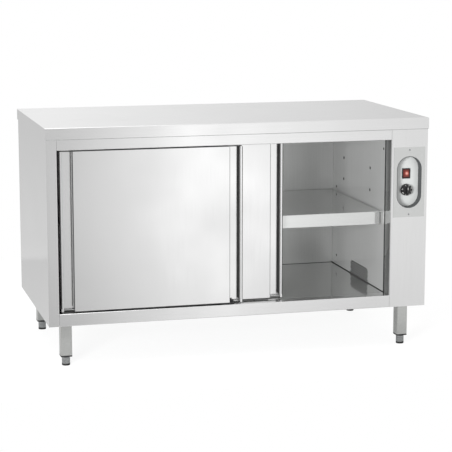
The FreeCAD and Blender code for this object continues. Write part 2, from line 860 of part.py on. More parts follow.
def make_control_plate():
    """Flat fascia with the oblong opening and two countersunk screw holes."""
    outline = rectangle(column_x, control_mid_z, plate_width, plate_height)
    plate = prism(outline, front_y - plate_sheet, front_y, "y")
    mouth = stadium(column_x, control_mid_z, pocket_width, pocket_height)
    plate = plate.cut(prism(mouth, front_y - overrun, front_y + overrun, "y"))
    for screw in make_screw_shapes():
        plate = plate.cut(screw)
    return plate


def make_screw_shapes():
    screws = []
    face = front_y - plate_sheet
    profile = [(0.0, 0.0), (screw_head_radius, 0.0), (screw_radius, plate_sheet),
               (screw_radius, screw_length), (0.0, screw_length)]
    for side in (-1, 1):
        centre = at(column_x, face, control_mid_z + side * screw_spacing / 2)
        screws.append(revolved(profile, centre, at(0, 1, 0)))
    return screws


def make_control_pocket():
    """Oblong tub behind the fascia, with the holes for the switch and the spindle."""
    grown = 2 * pocket_sheet
    outer = prism(stadium(column_x, control_mid_z, pocket_width + grown, pocket_height + grown),
                  front_y, pocket_floor_y + pocket_sheet, "y")
    inner = prism(stadium(column_x, control_mid_z, pocket_width, pocket_height),
                  front_y - overrun, pocket_floor_y, "y")
    window = prism(rectangle(column_x, switch_z, switch_body_width, switch_body_height),
                   pocket_floor_y - overrun, pocket_floor_y + overrun, "y")
    bush = cylinder(at(column_x, pocket_floor_y - overrun, dial_z), at(0, 1, 0),
                    bush_radius + bush_gap, 2 * overrun)
    return outer.cut(inner).cut(window).cut(bush)


def make_switch_body():
    """Snap-in switch housing with its bezel, open at the front for the rocker."""
    bezel = prism(rectangle(column_x, switch_z, switch_bezel_width, switch_bezel_height, edge_round),
                  pocket_floor_y - switch_bezel_depth, pocket_floor_y, "y")
    housing = prism(rectangle(column_x, switch_z, switch_body_width, switch_body_height),
                    pocket_floor_y, pocket_floor_y + switch_body_depth, "y")
    cavity_width = rocker_width + 2 * rocker_side_gap
    cavity_height = 2 * (rocker_swing + rocker_side_gap)
    cavity = prism(rectangle(column_x, switch_z, cavity_width, cavity_height),
                   pocket_floor_y - overrun, pocket_floor_y + switch_cavity, "y")
    return bezel.fuse(housing).removeSplitter().cut(cavity)


def make_switch_rocker():
    """Rocker with a hollowed face, resting with its upper end pressed in."""
    half = rocker_height / 2
    tip_angle = math.atan2(rocker_rise, half)
    root_angle = -math.asin(rocker_root / rocker_swing)
    mid_angle = (tip_angle + root_angle) / 2

    def rim(angle, side):
        return at(side * rocker_swing * math.cos(angle), rocker_swing * math.sin(angle))

    edges = [
        Part.Arc(rim(tip_angle, 1), at(0, rocker_dip), rim(tip_angle, -1)).toShape(),
        Part.Arc(rim(tip_angle, -1), rim(mid_angle, -1), rim(root_angle, -1)).toShape(),
        Part.makeLine(rim(root_angle, -1), rim(root_angle, 1)),
        Part.Arc(rim(root_angle, 1), rim(mid_angle, 1), rim(tip_angle, 1)).toShape(),
    ]
    # The profile's first axis becomes z, and its second the way out of the pocket.
    rocker = Part.Face(Part.Wire(edges)).extrude(at(0, 0, rocker_width))
    stand = FreeCAD.Rotation(FreeCAD.Matrix(0, 0, 1, 0, 0, -1, 0, 0, 1, 0, 0, 0, 0, 0, 0, 1))
    tilt = FreeCAD.Rotation(at(1, 0, 0), -rocker_tilt_degrees)
    start = at(column_x - rocker_width / 2, pocket_floor_y, switch_z)
    rocker.Placement = FreeCAD.Placement(start, tilt.multiply(stand))
    return rocker


def make_thermostat_body():
    """Capillary thermostat behind the pocket, with its bush and spindle."""
    back = pocket_floor_y + pocket_sheet
    body = prism(rectangle(column_x, dial_z, thermostat_width, thermostat_height), back,
                 back + thermostat_depth, "y")
    bush = cylinder(at(column_x, pocket_floor_y, dial_z), at(0, 1, 0), bush_radius,
                    pocket_sheet + edge_round)
    spindle = cylinder(at(column_x, pocket_floor_y - spindle_length, dial_z), at(0, 1, 0),
                       spindle_radius, spindle_length + pocket_sheet + edge_round)
    return body.fuse([bush, spindle]).removeSplitter()


def make_thermostat_knob():
    """Dial skirt for the numerals, with a tapered boss cut to a finger grip."""
    bore = spindle_radius + shaft_gap
    bore_depth = spindle_length - dial_gap + seat_gap
    profile = [(bore, 0.0), (dial_radius - dial_edge, 0.0), (dial_radius, dial_edge),
               (dial_radius - dial_edge, dial_skirt), (dial_boss_radius, dial_skirt),
               (dial_boss_radius - dial_boss_taper, dial_depth - dial_edge),
               (dial_boss_radius - dial_boss_taper - dial_edge, dial_depth), (0.0, dial_depth),
               (0.0, bore_depth), (bore, bore_depth)]
    base_y = pocket_floor_y - dial_gap
    knob = revolved(profile, at(column_x, base_y, dial_z), at(0, -1, 0))
    front = base_y - dial_depth
    for side in (-1, 1):
        x_low, x_high = sorted((column_x + side * dial_grip_half, column_x + side * dial_radius))
        cheek = block(x_low, x_high, front - overrun, front + dial_grip_depth,
                      dial_z - dial_radius, dial_z + dial_radius)
        knob = knob.cut(cheek)
    return knob


def make_thermostat_bulb():
    """Sensing bulb on the outside of the lining, and the capillary that leads to it."""
    bulb_x = opening_right + liner_sheet + bulb_radius + seat_gap
    body_middle = pocket_floor_y + pocket_sheet + thermostat_depth / 2
    bulb_y = body_middle + bulb_setback
    bulb = cylinder(at(bulb_x, bulb_y, bulb_z), at(0, 1, 0), bulb_radius, bulb_length)
    points = [at(column_x, body_middle, dial_z - thermostat_height / 2), at(column_x, body_middle, bulb_z),
              at(bulb_x, bulb_y + bulb_radius, bulb_z)]
    return bulb.fuse(tube(points, capillary_radius, capillary_bend))


def make_blower_housing():
    """Cross-flow scroll: curved guide wall, tongue over the outlet and two end plates."""
    outlet_x = opening_right + liner_sheet + seat_gap
    outer_radius = scroll_radius + scroll_sheet
    stop_angle = math.radians(scroll_stop_degrees)
    middle_angle = (stop_angle - math.pi / 2) / 2
    half_span = fan_length / 2 + fan_gap

    def ring(radius, angle):
        return at(fan_centre_x + radius * math.cos(angle), fan_centre_z + radius * math.sin(angle))

    low_z = fan_centre_z - scroll_radius
    edges = [
        Part.makeLine(at(outlet_x, low_z), ring(scroll_radius, -math.pi / 2)),
        Part.Arc(ring(scroll_radius, -math.pi / 2), ring(scroll_radius, middle_angle),
                 ring(scroll_radius, stop_angle)).toShape(),
        Part.makeLine(ring(scroll_radius, stop_angle), ring(outer_radius, stop_angle)),
        Part.Arc(ring(outer_radius, stop_angle), ring(outer_radius, middle_angle),
                 ring(outer_radius, -math.pi / 2)).toShape(),
        Part.makeLine(ring(outer_radius, -math.pi / 2), at(outlet_x, low_z - scroll_sheet)),
        Part.makeLine(at(outlet_x, low_z - scroll_sheet), at(outlet_x, low_z)),
    ]
    y_low, y_high = grille_middle - half_span, grille_middle + half_span
    guide = prism(Part.Wire(edges), y_low, y_high, "y")
    tongue_z = low_z + outlet_height
    tongue_x = fan_centre_x - math.sqrt(scroll_radius ** 2 - (tongue_z - fan_centre_z) ** 2)
    tongue = folded([(outlet_x, tongue_z), (tongue_x, tongue_z), (tongue_x - fan_gap, tongue_z + fan_gap)],
                    scroll_sheet, bend, 1, y_low, y_high, "y")
    plate_right = fan_centre_x + outer_radius + end_plate_margin
    plate_left = opening_right + liner_flange + end_plate_margin
    shapes = [tongue]
    for side in (-1, 1):
        inner_y = grille_middle + side * half_span
        outer_y = inner_y + side * scroll_sheet
        plate_y = (min(inner_y, outer_y), max(inner_y, outer_y))
        shapes.append(block(outlet_x, plate_right, *plate_y, low_z - scroll_sheet, blower_top))
        shapes.append(block(plate_left, plate_right, *plate_y, base_top, low_z - scroll_sheet))
        foot_y = sorted((inner_y, outer_y + side * end_plate_foot))
        shapes.append(block(plate_left, plate_right, *foot_y, base_top, base_top + scroll_sheet))
    housing = guide.fuse(shapes).removeSplitter()
    shaft_hole = cylinder(at(fan_centre_x, y_low - overrun, fan_centre_z), at(0, 1, 0),
                          fan_shaft_radius + shaft_gap, y_high - y_low + 2 * overrun)
    housing = housing.cut(shaft_hole)
    for z in heater_heights():
        hole = cylinder(at(heater_x, y_low - overrun, z), at(0, 1, 0), heater_radius, 2 * overrun)
        housing = housing.cut(hole)
    return housing


def make_blower_impeller():
    """Drum of forward-curved blades between two end discs."""
    inner_radius = fan_radius - fan_blade_depth
    half = fan_length / 2
    low, high = grille_middle - half, grille_middle + half
    bow_radius = (inner_radius + fan_radius) / 2
    near = [at(inner_radius, 0), at(bow_radius, fan_blade_bow), at(fan_radius - fan_blade_sheet, 0)]
    far = [point + at(0, fan_blade_sheet) for point in near]
    outline = Part.Wire([
        Part.Arc(*near).toShape(),
        Part.makeLine(near[2], far[2]),
        Part.Arc(*far[::-1]).toShape(),
        Part.makeLine(far[0], near[0]),
    ])
    blade = prism(outline, low + fan_disc, high - fan_disc, "y")
    centre = at(fan_centre_x, 0, fan_centre_z)
    blades = []
    for index in range(fan_blades):
        turned = blade.copy()
        turned.rotate(at(0, 0, 0), at(0, 1, 0), 360 * index / fan_blades)
        turned.translate(centre)
        blades.append(turned)
    along = at(0, 1, 0)
    discs = [cylinder(centre + at(0, y), along, fan_radius, fan_disc) for y in (low, high - fan_disc)]
    front_end = fan_gap + scroll_sheet
    front_stub = cylinder(centre + at(0, low - front_end), along, fan_shaft_radius, front_end)
    motor_stub = cylinder(centre + at(0, high), along, fan_shaft_radius, fan_shaft_end)
    return discs[0].fuse([discs[1], front_stub, motor_stub] + blades).removeSplitter()


def make_blower_motor():
    """Shaded-pole motor on the rear end plate: core, coil and bearing bridge."""
    plate_y = grille_middle + fan_length / 2 + fan_gap + scroll_sheet
    core_y = plate_y + motor_standoff
    core = prism(rectangle(fan_centre_x, fan_centre_z, motor_width, motor_height), core_y,
                 core_y + motor_depth, "y")
    along = at(0, 1, 0)
    bearing = cylinder(at(fan_centre_x, plate_y, fan_centre_z), along, motor_bearing_radius, motor_standoff)
    coil = cylinder(at(fan_centre_x - motor_coil_length / 2, core_y + motor_depth / 2,
                       fan_centre_z + motor_height / 2), at(1, 0, 0), motor_coil_radius, motor_coil_length)
    motor = core.fuse([bearing, coil]).removeSplitter()
    shaft_hole = cylinder(at(fan_centre_x, plate_y - overrun, fan_centre_z), along,
                          fan_shaft_radius + shaft_gap, motor_standoff + motor_depth + 2 * overrun)
    return motor.cut(shaft_hole)


def heater_heights():
    return (heater_middle_z - heater_pitch / 2, heater_middle_z + heater_pitch / 2)


def make_heating_element():
    """Tubular hairpin across the blower's outlet, with both tails at the front end."""
    low_z, high_z = heater_heights()
    front = grille_middle - fan_length / 2 - fan_gap - scroll_sheet - heater_tail
    back = grille_middle + fan_length / 2 - heater_end_gap + heater_pitch / 2
    path = [(front, low_z), (back, low_z), (back, high_z), (front, high_z)]
    return tube([at(heater_x, y, z) for y, z in path], heater_radius, heater_pitch / 2)


def make_terminal_block():
    """Row of screw terminals on the base panel beside the gland."""
    length = terminal_poles * terminal_pitch
    x_low = column_x - length / 2
    base = block(x_low, x_low + length, terminal_y - terminal_width / 2, terminal_y + terminal_width / 2,
                 base_top, base_top + terminal_height)
    tools = []
    for pole in range(terminal_poles):
        x = x_low + terminal_pitch / 2 + pole * terminal_pitch
        top = base_top + terminal_height
        tools.append(prism(rectangle(x, terminal_y, terminal_clamp, terminal_clamp),
                           top - terminal_clamp_depth, top + overrun, "z"))
    return base.cut(Part.makeCompound(tools))


def make_cable_gland():
    """Gland in the base panel: clamping dome and hexagon below, locknut above."""
    hexagon = [at(column_x + gland_hex * math.cos(math.pi / 3 * step),
                  gland_y + gland_hex * math.sin(math.pi / 3 * step)) for step in range(6)]
    outline = rounded_outline(hexagon, [0.0] * len(hexagon))
    head = prism(outline, base_z - gland_hex_height, base_z, "z")
    nut = prism(outline, base_top, base_top + gland_nut_height, "z")
    thread = cylinder(at(column_x, gland_y, base_z), at(0, 0, 1), gland_thread,
                      outer_sheet + gland_above)
    dome = revolved([(0.0, 0.0), (gland_dome_radius, 0.0), (gland_thread, -gland_dome_height),
                     (0.0, -gland_dome_height)],
                    at(column_x, gland_y, base_z - gland_hex_height), at(0, 0, 1))
    gland = head.fuse([nut, thread, dome]).removeSplitter()
    bore_low = base_z - gland_hex_height - gland_dome_height - overrun
    bore = cylinder(at(column_x, gland_y, bore_low), at(0, 0, 1), gland_bore,
                    base_top + gland_above + overrun - bore_low)
    return gland.cut(bore)


def build_parts():
    track = make_door_track()
    parts = {
        "worktop": make_worktop(),
        "worktop_board": make_worktop_board(),
        "left_side_panel": make_side_panel(-1),
        "right_side_panel": make_side_panel(1),
        "back_panel": make_back_panel(),
        "base_panel": make_base_panel(),
        "left_stile": make_left_stile(),
        "top_rail": make_top_rail(),
        "bottom_rail": make_bottom_rail(),
        "column_front": make_column_front(),
        "inner_left_wall": make_inner_side_wall(-1),
        "inner_right_wall": make_inner_side_wall(1),
        "inner_back_wall": make_inner_back_wall(),
        "inner_ceiling": make_inner_ceiling(),
        "inner_floor": make_inner_floor(),
        "wall_insulation": make_wall_insulation(),
        "shelf": make_shelf(),
        "shelf_rails": make_shelf_rails(),
        "door_track": track,
        "track_stops": make_track_stops(track),
        "bottom_guide": make_bottom_guide(),
        "leg_inserts": make_leg_inserts(),
        "control_plate": make_control_plate(),
        "control_pocket": make_control_pocket(),
        "plate_screws": Part.makeCompound(make_screw_shapes()),
        "switch_body": make_switch_body(),
        "switch_rocker": make_switch_rocker(),
        "thermostat_body": make_thermostat_body(),
        "thermostat_knob": make_thermostat_knob(),
        "thermostat_bulb": make_thermostat_bulb(),
        "blower_housing": make_blower_housing(),
        "blower_impeller": make_blower_impeller(),
        "blower_motor": make_blower_motor(),
        "heating_element": make_heating_element(),
        "terminal_block": make_terminal_block(),
        "cable_gland": make_cable_gland(),
    }
    for name, x, y in leg_places():
        parts["leg_" + name] = make_leg(x, y)
        parts["foot_" + name] = make_foot(x, y)
    for door, x, y in (("front_door", front_door_x, front_door_y), ("rear_door", rear_door_x, rear_door_y)):
        parts[door + "_skin"] = make_door_skin(x, y)
        parts[door + "_left_pull"] = make_door_pull(x, y, False)
        parts[door + "_right_pull"] = make_door_pull(x, y, True)
        parts[door + "_back"] = make_door_back(x, y)
        parts[door + "_core"] = make_door_core(x, y)
        parts[door + "_hangers"] = make_door_hangers(x, y)
        for end, centre_x in zip(("left", "right"), hanger_xs(x)):
            parts[door + "_roller_" + end] = make_roller(centre_x, y + door_thickness / 2)
    return parts


def export(parts):
    os.makedirs("parts", exist_ok=True)
    for name, shape in parts.items():
        shape.exportStep(os.path.join("parts", name + ".step"))
        print(name, "solids", len(shape.Solids), "valid", shape.isValid())


export(build_parts())
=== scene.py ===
# %% [markdown]
# # Dressing a heated plate cabinet
# The cabinet is folded from stainless sheet. Its shapes come ready as a frame of named
# nodes, so this lesson adds what a frame can't hold: the brushed and mirror finishes, the
# moulded plastics, the glowing switch, the dial's numerals, screws and threaded feet.
# Everything is in metres, in the frame's own place, so a piece needs no fitting.

# %% Load the frame
import json
import math

import bpy
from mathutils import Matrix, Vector


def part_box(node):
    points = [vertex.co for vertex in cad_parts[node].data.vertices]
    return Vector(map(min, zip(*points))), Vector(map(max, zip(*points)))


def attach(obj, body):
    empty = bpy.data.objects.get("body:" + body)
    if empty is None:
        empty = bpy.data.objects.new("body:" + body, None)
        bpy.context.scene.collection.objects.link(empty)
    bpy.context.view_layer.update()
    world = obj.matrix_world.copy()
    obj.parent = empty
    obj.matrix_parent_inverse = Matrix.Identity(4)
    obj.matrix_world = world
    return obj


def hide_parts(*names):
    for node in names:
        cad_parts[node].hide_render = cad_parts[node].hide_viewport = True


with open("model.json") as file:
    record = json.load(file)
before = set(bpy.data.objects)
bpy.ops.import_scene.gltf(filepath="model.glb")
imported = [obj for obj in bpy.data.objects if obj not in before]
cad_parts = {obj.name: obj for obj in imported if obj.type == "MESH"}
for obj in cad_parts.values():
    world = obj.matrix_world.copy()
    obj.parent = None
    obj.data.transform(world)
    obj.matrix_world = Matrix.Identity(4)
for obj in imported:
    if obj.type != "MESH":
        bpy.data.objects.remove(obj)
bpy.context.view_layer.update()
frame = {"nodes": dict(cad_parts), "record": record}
nodes = frame["nodes"]

# %% [markdown]
# ## The camera
# The cabinet was photographed from the left with a long lens, a little above its top.
# Such a view could be found by eye, but lines of the cabinet with known lengths give it
# exactly: the worktop's corners, the legs and the doors fix where the camera stood.

# %% Camera
camera_place = (-1.51586, -5.83658, 1.47386)
camera_lens = 129.63
camera_pitch = math.radians(80.12)
camera_turn = math.radians(-14.85)

camera_data = bpy.data.cameras.new("view_camera")
camera_data.lens = camera_lens
camera_data.sensor_width = 36.0
camera_data.clip_end = 60.0
camera = bpy.data.objects.new("view_camera", camera_data)
camera.location = camera_place
camera.rotation_euler = (camera_pitch, 0.0, camera_turn)
bpy.context.scene.collection.objects.link(camera)
bpy.context.scene.camera = camera
bpy.context.scene.view_settings.view_transform = "Standard"
print("camera at", camera_place, "lens", camera_lens)

# %% [markdown]
# ## Helpers for materials
# Colours are picked as sRGB hex values, as a paint chart gives them, and the renderer
# wants linear light, so one function turns them. Another adds a node with its settings
# and links in one line, which keeps each finish readable as a short recipe. A third
# starts an empty material and hands out the object's own coordinates.


# %% Colour and node helpers
def linear(hex_value):
    """Linear RGBA of an sRGB hex colour such as 'C8CAC9'."""
    parts = [int(hex_value[start:start + 2], 16) / 255 for start in (0, 2, 4)]
    return tuple([p / 12.92 if p <= 0.04045 else ((p + 0.055) / 1.055) ** 2.4
                  for p in parts] + [1.0])


def add(tree, kind, inputs=None, stops=(), **settings):
    """One node. Settings are its attributes. An input is a plain value, a socket, or a
    node whose first output is meant. Stops are a ramp's positions and colours."""
    made = tree.nodes.new(kind)
    for name, value in settings.items():
        setattr(made, name, value)
    for name, value in (inputs or {}).items():
        if isinstance(value, bpy.types.Node):
            value = value.outputs[0]
        if isinstance(value, bpy.types.NodeSocket):
            tree.links.new(value, made.inputs[name])
        else:
            made.inputs[name].default_value = value
    if stops:
        elements = made.color_ramp.elements
        for position, colour in stops[1:-1]:
            elements.new(position)
        for element, (position, colour) in zip(elements, stops):
            element.position = position
            element.color = colour
    return made


def new_finish(name):
    """Empty material, its node tree and the object's own coordinates."""
    made = bpy.data.materials.new(name)
    made.use_nodes = True
    tree = made.node_tree
    tree.nodes.clear()
    return made, tree, add(tree, "ShaderNodeTexCoord").outputs["Object"]


print("white is", linear("FFFFFF"))

# %% [markdown]
# ## Brushed sheet
# The outside is AISI 304 sheet, ground with a 240 grit belt. The belt leaves fine scores
# along one direction, which blur the reflection across them, so the metal looks silky.
# The scores could be modelled as an image, but stretched noise gives them at any scale.
# Real scores are about 0.1 mm apart. That is far finer than a pixel here, so they are
# drawn 1.2 mm apart, and a second, broad noise gives the faint clouding of wiped steel.
# Inside, the lining is left as rolled, so its sheen is satin. Dents too small to draw
# scatter part of the light, which a metallic share below one gives, and upright rolling
# lines on the side walls stretch each reflection sideways, which is their anisotropy.
# The flats between the dents mirror the shelf and the floor, faint but sharp. A clear
# coat over the satin does that, and its high IOR sets how much it mirrors.

# %% Brushed sheet
noise_span = {"From Min": 0.3, "From Max": 0.7}
gloss_swing = 0.03


def brushed_sheet(name, colour, grain, roughness, score_pitch=0.0012, score_length=0.12,
                  metallic=1.0, stretch=0.0, coat_ior=0.0):
    made, tree, place = new_finish(name)
    scale = [1 / score_pitch] * 3
    scale["xyz".index(grain)] = 1 / score_length
    along = add(tree, "ShaderNodeMapping", {"Vector": place, "Scale": scale})
    scores = add(tree, "ShaderNodeTexNoise", {"Vector": along, "Scale": 1.0, "Detail": 3.0})
    clouds = add(tree, "ShaderNodeTexNoise", {"Vector": place, "Scale": 4.0, "Detail": 2.0})
    shade = add(tree, "ShaderNodeMapRange", {"Value": scores, **noise_span,
                                             "To Min": 0.96, "To Max": 1.0})
    tone = add(tree, "ShaderNodeMixRGB", {"Fac": 1.0, "Color1": linear(colour),
                                          "Color2": shade}, blend_type="MULTIPLY")
    gloss = add(tree, "ShaderNodeMapRange", {"Value": clouds, **noise_span,
                                             "To Min": roughness - gloss_swing,
                                             "To Max": roughness + gloss_swing})
    relief = add(tree, "ShaderNodeBump", {"Height": scores, "Strength": 0.03,
                                          "Distance": 0.0002})
    inputs = {"Base Color": tone, "Metallic": metallic, "Roughness": gloss, "Normal": relief}
    if stretch:
        inputs["Anisotropic"] = stretch
        inputs["Tangent"] = add(tree, "ShaderNodeTangent", direction_type="RADIAL", axis="Z")
    if coat_ior:
        inputs.update({"Coat Weight": 1.0, "Coat IOR": coat_ior, "Coat Roughness": 0.04})
    shader = add(tree, "ShaderNodeBsdfPrincipled", inputs)
    add(tree, "ShaderNodeOutputMaterial", {"Surface": shader})
    return made


print("the belt's clouds swing the roughness by", gloss_swing)

# %% [markdown]
# ## One finish for each sheet
# The recipe serves every sheet, with its own tone, gloss and direction of grain. The
# worktop and the rails were ground along their length, the upright sheets from top to
# bottom. Rolling lines are as fine as the scores, and are drawn 4 mm apart so that they
# show. Numbers for one recipe, instead of ten separate materials, keep the sheets alike.

# %% Sheet finishes
rolling_pitch = 0.004
steel_long = brushed_sheet("brushed_stainless_along_x", "E7E7E7", "x", 0.16)
steel_upright = brushed_sheet("brushed_stainless_upright", "E7E7E7", "z", 0.16)
steel_back = brushed_sheet("brushed_stainless_back", "DADBD9", "z", 0.22)
plate_steel = brushed_sheet("brushed_fascia", "D6D7D6", "z", 0.22, score_length=0.03)
tube_steel = brushed_sheet("brushed_leg_tube", "C4C5C3", "z", 0.22)
satin_steel = brushed_sheet("satin_side_lining", "F4F5F4", "z", 0.31, rolling_pitch,
                            metallic=0.62, stretch=1.0, coat_ior=3.5)
back_lining = brushed_sheet("satin_back_lining", "DADBDA", "z", 0.38, rolling_pitch,
                            metallic=0.66)
lining_steel = brushed_sheet("mill_finish_lining", "C6C7C6", "z", 0.10, rolling_pitch,
                             metallic=0.9)
shelf_steel = brushed_sheet("mill_finish_shelf", "CCCDCC", "x", 0.09, rolling_pitch,
                            metallic=0.88)
pocket_steel = brushed_sheet("satin_pocket", "C0C2C1", "z", 0.38, score_length=0.03,
                             metallic=0.4)
print("sheet finishes:", [made.name for made in bpy.data.materials if "stainless" in made.name])

# %% [markdown]
# ## Galvanised sheet
# Hidden brackets, the track and the base are hot-dip galvanised steel. Zinc sets in
# crystals, the spangle, 5 to 15 mm across, each with its own grey and gloss. A Voronoi
# pattern is made of such cells, so its random cell colour drives tone and roughness.

# %% Galvanised sheet
zinc_sheet, tree, place = new_finish("galvanised_sheet")
spangle = add(tree, "ShaderNodeTexVoronoi", {"Vector": place, "Scale": 110.0,
                                             "Randomness": 1.0})
cell = add(tree, "ShaderNodeSeparateColor", {"Color": spangle.outputs["Color"]})
tone = add(tree, "ShaderNodeValToRGB", {"Fac": cell},
           [(0.0, linear("A3A8AA")), (1.0, linear("C4C8C9"))])
gloss = add(tree, "ShaderNodeMapRange", {"Value": cell.outputs[1], "To Min": 0.32,
                                         "To Max": 0.5})
shader = add(tree, "ShaderNodeBsdfPrincipled", {"Base Color": tone, "Metallic": 0.9,
                                                "Roughness": gloss})
add(tree, "ShaderNodeOutputMaterial", {"Surface": shader})
print(zinc_sheet.name)

# %% [markdown]
# ## Moulded plastics and rubber
# The switch, the knob, the guide, the tube ends and the gland are injection moulded in
# nylon or ABS. The mould is spark eroded, which gives the skin a fine grain of about
# 0.3 mm and a soft gloss. Plastic isn't metallic, and its IOR is about 1.5. One recipe
# serves all of them, and the colour, gloss and grain size tell them apart.


# %% Plastics
def moulded(name, colour, roughness, grain_mm, grain_strength=0.15, ior=1.5):
    made, tree, place = new_finish(name)
    grain = add(tree, "ShaderNodeTexNoise", {"Vector": place, "Scale": 1000.0 / grain_mm,
                                             "Detail": 2.0})
    wear = add(tree, "ShaderNodeTexNoise", {"Vector": place, "Scale": 60.0, "Detail": 3.0})
    gloss = add(tree, "ShaderNodeMapRange", {"Value": wear, **noise_span,
                                             "To Min": roughness - 0.06,
                                             "To Max": roughness + 0.06})
    relief = add(tree, "ShaderNodeBump", {"Height": grain, "Strength": grain_strength,
                                          "Distance": 0.0001})
    full = linear(colour)
    worn = [channel * 0.86 for channel in full[:3]] + [1.0]
    tone = add(tree, "ShaderNodeValToRGB", {"Fac": wear}, [(0.3, worn), (0.7, full)])
    shader = add(tree, "ShaderNodeBsdfPrincipled", {"Base Color": tone, "Roughness": gloss,
                                                    "IOR": ior, "Normal": relief})
    add(tree, "ShaderNodeOutputMaterial", {"Surface": shader})
    return made


# Besides the bezel and the black plastic parts, this black is painted shade on the hole buttons
# and the slot rims.
black_nylon_and_shade = moulded("black_nylon_and_shade", "1B1B1C", 0.48, 0.4)
black_knob = moulded("black_phenolic_knob", "141415", 0.36, 0.3)
white_nylon = moulded("natural_nylon", "E6E2D6", 0.42, 0.5)
gland_nylon = moulded("grey_nylon_gland", "3A3C3E", 0.46, 0.4)
# Besides the real rubber stops, this black is painted shade on the channel strips, jamb bulb,
# floor bead, door strips and slot backing.
black_rubber_and_shade = moulded("black_rubber_and_shade", "232323", 0.72, 0.8, 0.3)
pad_rubber = moulded("foot_pad_rubber", "1E1E1E", 0.75, 0.8, 0.3)
housing_plastic = moulded("control_housing_plastic", "D8D4C8", 0.45, 0.4)
# Partly painted shade: the rim is a real dark edge, the grey down the recess wall is shade.
gasket_and_shade_grey = moulded("grey_gasket_and_shade", "3E4041", 0.60, 0.6, 0.2)
# Painted shadow: this grey is the shadow line under the worktop's apron.
apron_shadow_grey = moulded("grey_apron_shadow_line", "6E706F", 0.55, 0.8, 0.2, ior=1.41)
print("plastics:", black_nylon_and_shade.name, black_knob.name, white_nylon.name)

# %% [markdown]
# ## The lit rocker
# The rocker is clear red polycarbonate with a small neon lamp behind it. The lamp lights
# the middle of the cap and the edges stay dark red. Light through plastic could be traced,
# but a lamp of 3 mm is noisy to trace, so a soft round glow is added by distance from the
# lamp's place, and the red skin keeps its gloss.

# %% Lit rocker
rocker_low, rocker_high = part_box("switch_rocker")
glow_place = (rocker_low + rocker_high) / 2 + Vector((0.0020, -0.0035, 0.0005))
core_reach, glow_reach = 0.001, 0.0115
rocker_red, tree, place = new_finish("lit_red_polycarbonate")
distance = add(tree, "ShaderNodeVectorMath", {0: place, 1: glow_place}, operation="DISTANCE")
glow = add(tree, "ShaderNodeMapRange", {"Value": distance.outputs["Value"],
                                        "From Min": core_reach, "From Max": glow_reach,
                                        "To Min": 1.0, "To Max": 0.0},
           interpolation_type="SMOOTHSTEP")
glow_colour = add(tree, "ShaderNodeValToRGB", {"Fac": glow},
                  [(0.0, linear("1A0503")), (0.5, linear("A04A38")), (1.0, linear("FFC6B8"))])
ripple = add(tree, "ShaderNodeTexNoise", {"Vector": place, "Scale": 900.0, "Detail": 1.0})
relief = add(tree, "ShaderNodeBump", {"Height": ripple, "Strength": 0.1, "Distance": 0.0002})
shader = add(tree, "ShaderNodeBsdfPrincipled", {
    "Base Color": linear("4A120C"), "Roughness": 0.22, "IOR": 1.58, "Normal": relief,
    "Emission Color": glow_colour, "Emission Strength": 0.75})
add(tree, "ShaderNodeOutputMaterial", {"Surface": shader})
print("glow at", tuple(round(c, 4) for c in glow_place))

# %% [markdown]
# ## Small metals
# Screws are bright zinc plate, the feet are turned steel with zinc plate, the capillary is
# drawn copper, the fan drum is pressed aluminium and the heater's sheath is nickel alloy
# that has taken a heat tint. Each is a metal with its own colour, and a noise that is
# stretched or clouded in the way its making leaves it.


# %% Small metals
def small_metal(name, colour, dark, roughness, pattern_mm, stretch=(1, 1, 1)):
    made, tree, place = new_finish(name)
    scale = [1000.0 / pattern_mm / s for s in stretch]
    fitted = add(tree, "ShaderNodeMapping", {"Vector": place, "Scale": scale})
    marks = add(tree, "ShaderNodeTexNoise", {"Vector": fitted, "Scale": 1.0, "Detail": 4.0})
    tone = add(tree, "ShaderNodeValToRGB", {"Fac": marks},
               [(0.32, linear(dark)), (0.62, linear(colour))])
    gloss = add(tree, "ShaderNodeMapRange", {"Value": marks, **noise_span,
                                             "To Min": roughness + 0.08,
                                             "To Max": roughness - 0.04})
    relief = add(tree, "ShaderNodeBump", {"Height": marks, "Strength": 0.08,
                                          "Distance": 0.0002})
    shader = add(tree, "ShaderNodeBsdfPrincipled", {"Base Color": tone, "Metallic": 1.0,
                                                    "Roughness": gloss, "Normal": relief})
    add(tree, "ShaderNodeOutputMaterial", {"Surface": shader})
    return made


screw_zinc = small_metal("zinc_plated_screw", "B9BBBC", "97999A", 0.30, 1.5)
foot_zinc = small_metal("turned_foot_steel", "B4B6B6", "8C8E8F", 0.30, 1.2, (8, 8, 1))
capillary_copper = small_metal("drawn_copper", "C98A63", "8A5238", 0.32, 3.0)
drum_alloy = small_metal("pressed_aluminium", "CACCCE", "A8ABAD", 0.36, 4.0)
sheath_alloy = small_metal("heat_tinted_sheath", "8B8278", "4E4A4C", 0.42, 12.0)
print("metals:", screw_zinc.name, foot_zinc.name, capillary_copper.name)

# %% [markdown]
# ## The fan motor
# A shaded pole motor is a stack of iron sheets with a coil of enamelled wire. Both are one
# node here, so height tells them apart: the coil stands on top of the core. The sheets,
# 1 mm apart, and the turns of wire, 0.8 mm apart, are drawn as fine waves of tone.

